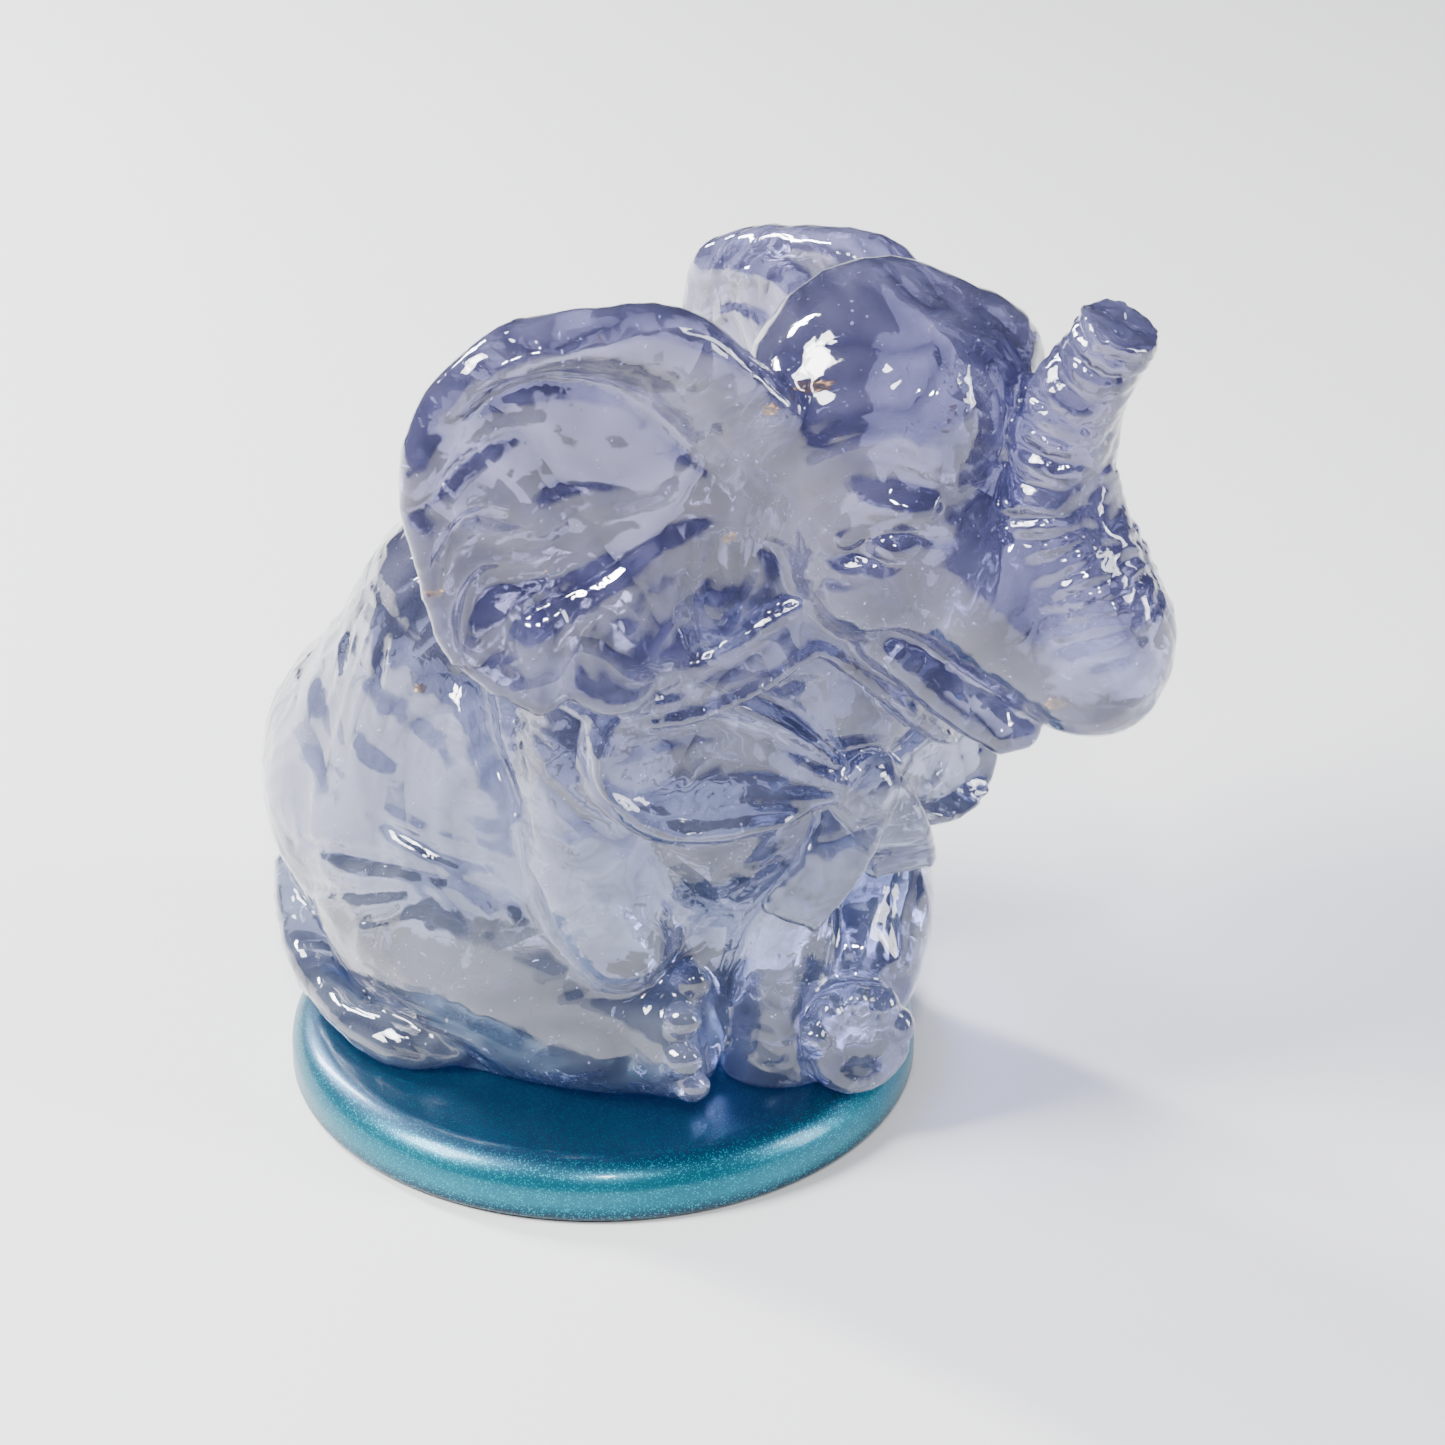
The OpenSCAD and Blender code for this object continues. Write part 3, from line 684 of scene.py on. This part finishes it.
# %% [markdown]
# The raw net is stepped like the grid. Evening out alone would shrink it and melt the creases away, so after
# each round the vertices are put back on the surface.

# %% Evening out
def skin(block, rounds=3, share=0.5, furthest=0.4):
    """Surface nets. Each round moves every vertex a share of the way to the mean of its neighbours, then
    back on to the surface along its slope, by no more than furthest."""
    inside = block.value < 0
    points, number = cell_vertices(block, inside)
    faces = crossed_edge_faces(inside, number)
    for _ in range(rounds):
        mean, near = np.zeros_like(points), np.zeros(len(points))
        for k in range(4):
            a, b = faces[:, k], faces[:, (k + 1) % 4]
            for axis in range(3):
                mean[:, axis] += (np.bincount(a, points[b, axis], len(points))
                                  + np.bincount(b, points[a, axis], len(points)))
            near += np.bincount(a, minlength=len(points)) + np.bincount(b, minlength=len(points))
        points = points + share * (mean / near[:, None] - points)
        value, slope = sample(block, points)
        steepness = np.maximum((slope ** 2).sum(1), 0.2)
        points = points - np.clip(value, -furthest, furthest)[:, None] * slope / steepness[:, None]
    return points, faces


# %% [markdown]
# The clear casting is built from the block, cut off a hair's breadth inside the base so that resin sits on
# resin with no air between, and made into one mesh. It stands for all the clear members of the frame.

# %% Clear casting
def new_piece(name, points, faces, smooth=True):
    """A mesh object from points in mm and faces, put into the scene in metres."""
    mesh = bpy.data.meshes.new(name)
    faces = faces.tolist() if isinstance(faces, np.ndarray) else faces
    mesh.from_pydata((np.asarray(points) * MM).tolist(), [], faces)
    mesh.validate()
    mesh.update()
    mesh.polygons.foreach_set("use_smooth", [smooth] * len(mesh.polygons))
    piece = bpy.data.objects.new(name, mesh)
    bpy.context.collection.objects.link(piece)
    return piece


CLEAR_NODES = ["torso", "head", "lower_jaw", "trunk", "right_ear", "left_ear", "right_front_leg",
               "left_front_leg", "right_hind_leg", "left_hind_leg", "right_hind_foot", "left_hind_foot",
               "tail", "neck_ribbon", "bow_knot", "right_bow_loop", "left_bow_loop", "right_bow_tail",
               "left_bow_tail"]
SUNK = 0.1

drop_lone_points(block)
heights = block.low[2] + block.step * np.arange(block.value.shape[2])
block.value = np.maximum(block.value, (BASE_TOP - SUNK - heights)[None, None, :])
skin_points, skin_faces = skin(block)
casting = new_piece("clear_casting", skin_points, skin_faces)
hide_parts(*CLEAR_NODES)
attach(casting, "root")
print("casting:", len(skin_points), "points,", 2 * len(skin_faces), "triangles,",
      skin_points.min(0).round(1), skin_points.max(0).round(1))

# %% [markdown]
# The base was poured in a round mould, so it is a turned shape: a flat top, a wide rounded shoulder and a
# small rounded foot. A profile carried round the axis gives it.

# %% Base
SHOULDER, FOOT_ROUND = 3.4, 1.1
ROUND_STEPS = 192


def arc(centre, radius, first, last, steps):
    """Points of a circular arc in the plane of the profile, from the first angle to the last, in degrees."""
    angle = np.radians(np.linspace(first, last, steps))
    return np.stack([centre[0] + radius * np.cos(angle), centre[1] + radius * np.sin(angle)], 1)


def turned(profile, steps):
    """A profile of (radius, height) carried round the Z axis, closed by a point at each end."""
    angle = np.linspace(0, 2 * np.pi, steps, endpoint=False)
    ring = profile[1:-1]
    points = np.stack([np.outer(ring[:, 0], np.cos(angle)), np.outer(ring[:, 0], np.sin(angle)),
                       np.repeat(ring[:, 1:], steps, 1)], -1).reshape(-1, 3)
    ends = np.array([[0, 0, profile[0, 1]], [0, 0, profile[-1, 1]]])
    row, col = np.meshgrid(np.arange(len(ring) - 1), np.arange(steps), indexing="ij")
    ahead = (col + 1) % steps
    quads = np.stack([row * steps + col, row * steps + ahead,
                      (row + 1) * steps + ahead, (row + 1) * steps + col], -1).reshape(-1, 4)
    col = np.arange(steps)
    ahead = (col + 1) % steps
    first, last = len(points), len(points) + 1
    top = (len(ring) - 1) * steps
    bottom_fan = np.stack([np.full(steps, first), ahead, col], 1)
    top_fan = np.stack([np.full(steps, last), top + col, top + ahead], 1)
    return np.vstack([points, ends]), quads.tolist() + bottom_fan.tolist() + top_fan.tolist()


profile = np.vstack([
    [[0, 0]], [[BASE_RADIUS * 0.5, 0]],
    arc((BASE_RADIUS - FOOT_ROUND, FOOT_ROUND), FOOT_ROUND, -90, 0, 8),
    arc((BASE_RADIUS - SHOULDER, BASE_TOP - SHOULDER), SHOULDER, 4, 90, 18),
    [[BASE_RADIUS * 0.72, BASE_TOP]], [[BASE_RADIUS * 0.4, BASE_TOP]], [[0, BASE_TOP]]])
base_points, base_faces = turned(profile, ROUND_STEPS)
base = new_piece("teal_base", base_points, base_faces)
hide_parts("base_disc")
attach(base, "root")
print("base:", len(base_points), "points")

# %% [markdown]
# Scraps of gold leaf were stirred into the resin before it set. Each is a thin crumpled sheet with a ragged
# edge, a millimetre or two long, close under the skin. They stand for the frame's flakes.

# %% Gold leaf
def leaf_scrap(centre, length, width, tilt, seed, cells=7):
    """A sheet on a grid: its outline is an oval with wandering edges, its height a sum of slow waves."""
    rng = np.random.default_rng(seed)
    u, v = np.meshgrid(np.linspace(-1, 1, cells * 2), np.linspace(-1, 1, cells), indexing="ij")
    ragged = 1 + 0.22 * np.sin(u * 5 + rng.uniform(0, 6)) * np.cos(v * 4 + rng.uniform(0, 6))
    x = u * length / 2 * np.sqrt(1 - 0.45 * v * v) * ragged
    y = v * width / 2 * np.sqrt(1 - 0.45 * u * u) * ragged
    z = 0.10 * length * np.sin(u * 2.6 + rng.uniform(0, 6)) + 0.10 * width * np.sin(v * 3.1 + u * 2)
    a, b, c = frame_of(*tilt)
    return np.asarray(centre) + x[..., None] * a + y[..., None] * b + z[..., None] * c


# %% [markdown]
# A sheet without thickness has no inside, so every scrap is closed into a thin solid.

# %% Closed sheets
def sheet_solid(grid, thickness):
    """A closed solid from a grid of points: the sheet, a copy moved along its normal, a wall round both."""
    rows, cols = grid.shape[:2]
    du, dv = np.gradient(grid, axis=0), np.gradient(grid, axis=1)
    normal = np.cross(du, dv)
    normal /= np.linalg.norm(normal, axis=-1, keepdims=True)
    points = np.concatenate([(grid + normal * thickness / 2).reshape(-1, 3),
                             (grid - normal * thickness / 2).reshape(-1, 3)])
    row, col = np.meshgrid(np.arange(rows - 1), np.arange(cols - 1), indexing="ij")
    a = (row * cols + col).ravel()
    top = np.stack([a, a + cols, a + cols + 1, a + 1], 1)
    under = top[:, ::-1] + rows * cols
    edge = np.concatenate([np.arange(cols), np.arange(2, rows) * cols - 1,
                           np.arange(rows * cols - 1, (rows - 1) * cols - 1, -1),
                           np.arange(rows - 2, 0, -1) * cols])
    after = np.roll(edge, -1)
    wall = np.stack([edge, after, after + rows * cols, edge + rows * cols], 1)
    return points, np.vstack([top, under, wall])


# %% [markdown]
# The scraps, each with its place, length, width, and the directions of its length and width. The longest
# lies in the forehead.

# %% Scraps in their places
LEVEL, LEANING = (0.59, -0.80, 0.08), (0.38, 0.28, 0.88)
FACE_ON = (LEVEL, LEANING)
LEAF_THICK = 0.05
SCRAPS = [
    ((-5.7, -28.1, 79.0), 3.6, 1.1, FACE_ON),
    ((-10.8, -27.0, 78.6), 1.3, 1.0, FACE_ON),
    ((-9.7, -22.0, 65.1), 1.3, 0.8, ((0.5, -0.5, 0.7), LEANING)),
    ((1.2, -48.8, 52.8), 1.8, 0.9, ((0.59, -0.80, 0.25), LEANING)),
    ((-31.2, -7.0, 64.0), 1.2, 0.7, FACE_ON),
    ((-15.4, 8.0, 43.5), 1.3, 0.8, FACE_ON),
]
scrap_points, scrap_faces, so_far = [], [], 0
for number, (centre, length, width, tilt) in enumerate(SCRAPS):
    points, faces = sheet_solid(leaf_scrap(centre, length, width, tilt, number + 3), LEAF_THICK)
    scrap_points.append(points)
    scrap_faces.append(faces + so_far)
    so_far += len(points)
gold = new_piece("gold_leaf_scraps", np.vstack(scrap_points), np.vstack(scrap_faces))
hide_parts("gold_flakes")
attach(gold, "root")
print("gold leaf:", len(SCRAPS), "scraps")

# %% [markdown]
# Small bubbles and flecks of glitter hang in the resin. Each kind is one piece with a few faces per copy:
# bubbles are little eight-sided balls, and flecks are thin six-sided plates at any tilt. Their places are
# drawn at random from the grid points that lie inside the casting.

# %% Bubbles and flecks
def places_inside(count, seed, shallow, deep):
    """Random grid points of the block whose distance lies between the two depths under the skin."""
    rng = np.random.default_rng(seed)
    inside = np.argwhere((block.value < -shallow) & (block.value > -deep))
    chosen = inside[rng.choice(len(inside), count, replace=False)]
    return block.low + block.step * (chosen + rng.uniform(-0.4, 0.4, chosen.shape))


def copies(points, faces, places, sizes, turns):
    """One mesh of many copies: each is the same points scaled, turned by its own matrix and moved."""
    moved = np.einsum("kij,nj->kni", turns, points) * sizes[:, None, None] + places[:, None, :]
    shifted = faces[None] + (np.arange(len(places)) * len(points))[:, None, None]
    return moved.reshape(-1, 3), shifted.reshape(-1, faces.shape[1])


def random_turns(count, seed):
    """Random rotation matrices, from the QR split of random numbers."""
    q, r = np.linalg.qr(np.random.default_rng(seed).normal(size=(count, 3, 3)))
    q = q * np.sign(np.einsum("kii->ki", r))[:, None, :]
    q[np.linalg.det(q) < 0, :, 0] *= -1
    return q


BUBBLE_COUNT, FLECK_COUNT = 2200, 1100
ball_points = np.array([[1, 0, 0], [0, 1, 0], [-1, 0, 0], [0, -1, 0], [0, 0, 1], [0, 0, -1.0]])
ball_faces = np.array([[k, (k + 1) % 4, 4] for k in range(4)] + [[(k + 1) % 4, k, 5] for k in range(4)])
bubble_sizes = 0.05 + 0.15 * np.random.default_rng(5).random(BUBBLE_COUNT) ** 3
bubbles = new_piece("trapped_bubbles", *copies(
    ball_points, ball_faces, places_inside(BUBBLE_COUNT, 11, 0.3, 3.5), bubble_sizes,
    random_turns(BUBBLE_COUNT, 12)))
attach(bubbles, "root")

plate_angle = np.radians(np.arange(6) * 60)
plate_ring = np.stack([np.cos(plate_angle), np.sin(plate_angle), np.zeros(6)], 1)
PLATE_HALF = (0, 0, 0.06)
plate = np.vstack([plate_ring + PLATE_HALF, plate_ring - PLATE_HALF])
plate_faces = np.array([[0, 1, 2, 3], [0, 3, 4, 5], [9, 8, 7, 6], [11, 10, 9, 6]]
                       + [[k, k + 6, (k + 1) % 6 + 6, (k + 1) % 6] for k in range(6)])
fleck_sizes = 0.07 + 0.15 * np.random.default_rng(6).random(FLECK_COUNT) ** 2
flecks = new_piece("glitter_flecks", *copies(
    plate, plate_faces, places_inside(FLECK_COUNT, 21, 0.5, 6.0), fleck_sizes,
    random_turns(FLECK_COUNT, 22)), smooth=False)
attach(flecks, "root")
print("bubbles:", BUBBLE_COUNT, "flecks:", FLECK_COUNT)

# %% [markdown]
# Every finish is drawn by formula from the place on the object, in metres, so it needs no unwrapping and
# turns with the piece. These short functions add nodes and join them.

# %% Nodes
def new_group(name, inputs, outputs):
    """An empty shader group with float inputs (name, value) and outputs (name, socket kind)."""
    group = bpy.data.node_groups.new(name, "ShaderNodeTree")
    for label, value in inputs:
        socket = group.interface.new_socket(label, in_out="INPUT", socket_type="NodeSocketFloat")
        socket.default_value = value
    for label, kind in outputs:
        group.interface.new_socket(label, in_out="OUTPUT", socket_type=kind)
    return group, group.nodes.new("NodeGroupInput"), group.nodes.new("NodeGroupOutput")


def feed(tree, socket, source):
    """Links another node's output to an input, or sets the input where source is a plain value."""
    if isinstance(source, bpy.types.NodeSocket):
        tree.links.new(source, socket)
    else:
        socket.default_value = source


def add(tree, kind, **settings):
    """A node of that kind, with its properties or the default values of its inputs set."""
    node = tree.nodes.new(kind)
    for key, value in settings.items():
        if key in node.inputs:
            node.inputs[key].default_value = value
        else:
            setattr(node, key, value)
    return node


def maths(tree, operation, first, second):
    """The result of one operation on two numbers, each a socket or a value."""
    node = add(tree, "ShaderNodeMath", operation=operation)
    feed(tree, node.inputs[0], first)
    feed(tree, node.inputs[1], second)
    return node.outputs[0]


def mix(tree, share, first, second, **settings):
    """A colour between two, by a share from 0 to 1; each of the three is a socket or a value."""
    node = add(tree, "ShaderNodeMix", data_type="RGBA", **settings)
    for number, source in ((0, share), (6, first), (7, second)):
        feed(tree, node.inputs[number], source)
    return node.outputs[2]


# %% [markdown]
# The patterns all start from the place on the object: its height, noise over it, colour ramps and relief.

# %% Patterns from the place
def place_on(tree):
    """The place of the shaded point on its own object, in metres."""
    return tree.nodes.new("ShaderNodeTexCoord").outputs["Object"]


def height_share(tree, whole):
    """The height of the shaded point as a share of a whole height in metres."""
    axes = tree.nodes.new("ShaderNodeSeparateXYZ")
    tree.links.new(place_on(tree), axes.inputs[0])
    return maths(tree, "DIVIDE", axes.outputs["Z"], whole)


def noise(tree, scale, detail, warp=0.0):
    """Noise over the object, its scale a socket or a value."""
    node = add(tree, "ShaderNodeTexNoise", Detail=detail, Distortion=warp)
    feed(tree, node.inputs["Scale"], scale)
    tree.links.new(place_on(tree), node.inputs["Vector"])
    return node.outputs["Fac"]


def ramp(tree, source, stops):
    """A colour ramp from a float socket, with stops of (place, colour)."""
    node = tree.nodes.new("ShaderNodeValToRGB")
    tree.links.new(source, node.inputs["Fac"])
    for number, (place, colour) in enumerate(stops):
        known = node.color_ramp.elements
        element = known[number] if number < 2 else known.new(place)
        element.position = place
        element.color = (*colour, 1)
    return node.outputs["Color"]


def bump(tree, shader, height, strength, distance):
    """Small relief on a shader from a height socket."""
    node = add(tree, "ShaderNodeBump", Strength=strength, Distance=distance)
    tree.links.new(height, node.inputs["Height"])
    tree.links.new(node.outputs["Normal"], shader.inputs["Normal"])


# %% [markdown]
# A finish starts as one shader with plain values on its sockets. The patterns are joined to it afterwards.

# %% Finish
def new_finish(name, **values):
    """A material, its tree and its shader. Values set the shader's sockets: coat_weight=0.9 sets the socket
    Coat Weight."""
    finish = bpy.data.materials.new(name)
    finish.use_nodes = True
    shader = finish.node_tree.nodes["Principled BSDF"]
    for key, value in values.items():
        socket = "IOR" if key == "ior" else key.replace("_", " ").title()
        shader.inputs[socket].default_value = value
    return finish, finish.node_tree, shader


# %% [markdown]
# The ripples are slow swirls folded into lines, mixed with finer noise. The sparkle is a mosaic of cells of
# which a small share, drawn by each cell's own colour, is chosen.

# %% Shared patterns
LINE_SPACING, LINE_STRETCH = 0.09, 11.0
ripples, r_in, r_out = new_group(
    "cast_ripples", [("Swirl scale", 60), ("Fine scale", 420), ("Swirl share", 0.6)],
    [("Height", "NodeSocketFloat"), ("Mask", "NodeSocketFloat")])
swirl = noise(ripples, r_in.outputs["Swirl scale"], 2, 1.3)
fine = noise(ripples, r_in.outputs["Fine scale"], 2, 0.4)
lines = maths(ripples, "MULTIPLY", maths(ripples, "PINGPONG", swirl, LINE_SPACING), LINE_STRETCH)
mixed = add(ripples, "ShaderNodeMix", data_type="FLOAT")
ripples.links.new(r_in.outputs["Swirl share"], mixed.inputs[0])
ripples.links.new(fine, mixed.inputs[2])
ripples.links.new(lines, mixed.inputs[3])
ripples.links.new(mixed.outputs[0], r_out.inputs["Height"])
ripples.links.new(lines, r_out.inputs["Mask"])

sparkle, s_in, s_out = new_group(
    "sparkle_cells", [("Cell scale", 2400), ("Share", 0.06)],
    [("Mask", "NodeSocketFloat"), ("Tint", "NodeSocketColor")])
cells = add(sparkle, "ShaderNodeTexVoronoi", feature="F1")
sparkle.links.new(place_on(sparkle), cells.inputs["Vector"])
sparkle.links.new(s_in.outputs["Cell scale"], cells.inputs["Scale"])
split = sparkle.nodes.new("ShaderNodeSeparateColor")
sparkle.links.new(cells.outputs["Color"], split.inputs[0])
chosen = maths(sparkle, "LESS_THAN", split.outputs[0], s_in.outputs["Share"])
sparkle.links.new(chosen, s_out.inputs["Mask"])
sparkle.links.new(cells.outputs["Color"], s_out.inputs["Tint"])

# %% [markdown]
# The clear resin is a glass-like shader with a lavender tint: light goes through, bends by the resin's
# refractive index, and is absorbed slowly on the way, so thick parts look deeper. Ripples of the mould bend
# the light as they do in the real casting, and pale wisps follow the same pattern. A clear solid would throw
# a full shadow on what lies in it, so shadow rays are let through with a tint.

# %% Clear resin finish
CLEAR_PALE, CLEAR_DEEP = (0.38, 0.42, 0.55), (0.16, 0.18, 0.27)
HEAD_TONE = (0.68, 0.60, 0.78)
WHITE = (1.0, 1.0, 1.0)
clear, tree, shader = new_finish("clear_lavender_resin", roughness=0.06, ior=1.52, transmission_weight=0.84,
                                 coat_weight=0.9, coat_roughness=0.03)
relief = add(tree, "ShaderNodeGroup", node_tree=ripples)
relief.inputs["Swirl scale"].default_value = 46
relief.inputs["Fine scale"].default_value = 380
relief.inputs["Swirl share"].default_value = 0.75
tint = ramp(tree, relief.outputs["Mask"], [(0.0, CLEAR_DEEP), (1.0, CLEAR_PALE)])
tone = ramp(tree, height_share(tree, float(cad_high[2])), [(0.30, WHITE), (0.70, HEAD_TONE)])
tree.links.new(mix(tree, 1.0, tint, tone, blend_type="MULTIPLY"), shader.inputs["Base Color"])
bump(tree, shader, relief.outputs["Height"], 0.38, 0.0009)

let_through = add(tree, "ShaderNodeBsdfTransparent", Color=(0.34, 0.36, 0.52, 1))
shadow_ray = tree.nodes.new("ShaderNodeLightPath")
shadow_mix = tree.nodes.new("ShaderNodeMixShader")
output = tree.nodes["Material Output"]
tree.links.new(shadow_ray.outputs["Is Shadow Ray"], shadow_mix.inputs[0])
tree.links.new(shader.outputs["BSDF"], shadow_mix.inputs[1])
tree.links.new(let_through.outputs["BSDF"], shadow_mix.inputs[2])
tree.links.new(shadow_mix.outputs["Shader"], output.inputs["Surface"])
absorb = add(tree, "ShaderNodeVolumeAbsorption", Density=30.0, Color=(0.45, 0.47, 0.66, 1))
tree.links.new(absorb.outputs["Volume"], output.inputs["Volume"])
casting.data.materials.append(clear)

# %% [markdown]
# The teal base is resin thick with fine mica: metallic sparkle over a deep blue. Its colour up the height is
# brighter on the rounded shoulder, a painted highlight where the shoulder turns to the light, and darker
# towards the foot and on the flat top. A clear coat gives the gloss of a casting.

# %% Teal mica finish
# Teal up the base from foot to top: the bright stops on the rounded shoulder are a painted highlight.
BASE_TEAL_AND_PAINTED_HIGHLIGHT = [(0.0, (0.000, 0.004, 0.020)), (0.14, (0.000, 0.020, 0.050)), (0.34, (0.000, 0.130, 0.185)),
              (0.70, (0.000, 0.105, 0.155)), (0.95, (0.000, 0.026, 0.066))]
MICA_TINT = (0.00, 0.27, 0.34, 1)
teal, tree, shader = new_finish("teal_mica_resin", metallic=0.6, roughness=0.34, coat_weight=0.18,
                                coat_roughness=0.10, ior=1.5)
up_share = height_share(tree, BASE_TOP * MM)
cloud = ramp(tree, noise(tree, 90, 4, 1.0), [(0.32, (0.55, 0.62, 0.75)), (0.68, WHITE)])
# deep carries the painted highlight of the shoulder band into the base colour.
deep = mix(tree, 0.45, ramp(tree, up_share, BASE_TEAL_AND_PAINTED_HIGHLIGHT), cloud, blend_type="MULTIPLY")
mica = add(tree, "ShaderNodeGroup", node_tree=sparkle)
mica.inputs["Cell scale"].default_value = 10500
mica.inputs["Share"].default_value = 0.12
calm_on_top = ramp(tree, up_share, [(0.80, WHITE), (0.98, (0.22, 0.22, 0.22))])
shown = maths(tree, "MULTIPLY", mica.outputs["Mask"], calm_on_top)
tree.links.new(mix(tree, shown, deep, MICA_TINT), shader.inputs["Base Color"])
bump(tree, shader, mica.outputs["Tint"], 0.12, 0.0002)
base.data.materials.append(teal)

# %% [markdown]
# Gold leaf is bright metal with fine wrinkles. Bubbles are nearly white with a hard gloss, because the light
# that meets them is thrown straight back. The flecks are foil that shifts between silver, amber and blue.

# %% Gold, bubble and fleck finishes
gold_leaf, tree, shader = new_finish("gold_leaf", metallic=1.0, roughness=0.25)
wrinkle = noise(tree, 2600, 3, 0.5)
tone = ramp(tree, wrinkle, [(0.3, (1.0, 0.36, 0.05)), (0.7, (1.0, 0.66, 0.16))])
tree.links.new(tone, shader.inputs["Base Color"])
bump(tree, shader, wrinkle, 0.6, 0.0001)
gold.data.materials.append(gold_leaf)

air, tree, shader = new_finish("trapped_air", roughness=0.08)
tone = ramp(tree, noise(tree, 900, 1), [(0.3, (0.70, 0.74, 0.88)), (0.7, (0.95, 0.97, 1.0))])
tree.links.new(tone, shader.inputs["Base Color"])
bubbles.data.materials.append(air)

foil, tree, shader = new_finish("glitter_foil", metallic=0.9, roughness=0.22)
tone = ramp(tree, noise(tree, 240, 1), [(0.34, (0.16, 0.52, 0.95)), (0.45, (0.85, 0.87, 0.92)),
                                        (0.56, (0.95, 0.93, 0.86)), (0.66, (0.98, 0.50, 0.12))])
tree.links.new(tone, shader.inputs["Base Color"])
flecks.data.materials.append(foil)

# %% [markdown]
# The floor is plain and pale. The light is that of a small studio: a large soft light high on the left, a
# weaker one from the right, a thin strip behind that draws bright lines along creases and rims, and two dark
# cards outside the view, which clear resin needs so that its edges show against a pale room.

# %% Floor and light
def card(name, centre, width, height, facing, colour):
    """A flat rectangle of one plain colour, turned so that its face looks along facing."""
    _, tall, wide = frame_of(facing, (0, 0.01, 1) if abs(facing[2]) < 0.9 else (0, 1, 0))
    corners = [np.asarray(centre) + width / 2 * sx * wide + height / 2 * sy * tall
               for sx, sy in ((-1, -1), (1, -1), (1, 1), (-1, 1))]
    piece = new_piece(name, corners, [[0, 1, 2, 3]], smooth=False)
    finish, _, _ = new_finish(name + "_finish", base_color=(*colour, 1), roughness=0.8)
    piece.data.materials.append(finish)
    return piece


def soft_light(name, place, aim, size, watts, colour=(1, 1, 1)):
    """A rectangular light at place in mm that shines towards aim."""
    lamp = bpy.data.lights.new(name, "AREA")
    lamp.shape = "RECTANGLE"
    lamp.size, lamp.size_y = (side * MM for side in size)
    lamp.energy = watts
    lamp.color = colour
    light = bpy.data.objects.new(name, lamp)
    light.location = Vector(place) * MM
    light.rotation_euler = (Vector(aim) - Vector(place)).to_track_quat("-Z", "Y").to_euler()
    bpy.context.collection.objects.link(light)
    return light


MIDDLE = (0, -6, 40)
FLOOR_SIDE = 12000
NEARLY_BLACK = (0.02, 0.02, 0.025)
floor = card("pale_floor", (0, 0, 0), FLOOR_SIDE, FLOOR_SIDE, (0, 0, 1), (0.66, 0.66, 0.655))
dark_left = card("dark_card_left", (160, 560, 210), 420, 420, (-0.2, -1, 0), NEARLY_BLACK)
dark_right = card("dark_card_right", (520, -60, 190), 300, 380, (-1, 0.1, 0), NEARLY_BLACK)
lights = [
    soft_light("window_left", (-420, 300, 520), MIDDLE, (260, 260), 17),
    soft_light("fill_right", (260, -620, 320), MIDDLE, (160, 420), 6, (0.92, 0.95, 1)),
    soft_light("spark", (-330, -260, 430), MIDDLE, (36, 36), 2.2),
    soft_light("rim_behind", (40, 540, 330), MIDDLE, (60, 320), 13, (0.96, 0.97, 1)),
]
dark_left.visible_camera = False
dark_right.visible_camera = False
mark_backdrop(floor, dark_left, dark_right, *lights)
world = bpy.data.worlds.new("pale_room")
world.use_nodes = True
sky = world.node_tree.nodes["Background"]
sky.inputs["Color"].default_value = (0.62, 0.64, 0.80, 1)
sky.inputs["Strength"].default_value = 0.14
bpy.context.scene.world = world

# %% [markdown]
# The camera looks down at the right side of the figure from in front of it. Its three axes are square to each
# other: back points from the aim to the camera, right is level, and up completes them.

# %% Camera
AZIMUTH, ELEVATION, DISTANCE = np.radians(-144), np.radians(28), 420
AIM = np.array([18.78, -0.56, 27.96])
SENSOR, LENS = 36.0, 107.9
back = np.array([np.cos(AZIMUTH) * np.cos(ELEVATION), np.sin(AZIMUTH) * np.cos(ELEVATION), np.sin(ELEVATION)])
right = np.cross((0, 0, 1), back)
right /= np.linalg.norm(right)
up = np.cross(back, right)
camera_data = bpy.data.cameras.new("camera")
camera_data.sensor_width = SENSOR
camera_data.lens = LENS
camera = bpy.data.objects.new("camera", camera_data)
bpy.context.collection.objects.link(camera)
stand = Matrix([[*row] for row in np.array([right, up, back]).T]).to_4x4()
stand.translation = Vector((AIM + DISTANCE * back) * MM)
camera.matrix_world = stand
bpy.context.scene.camera = camera

# %% [markdown]
# The view layer is brought up to date at the end.

# %% Last update
bpy.context.view_layer.update()
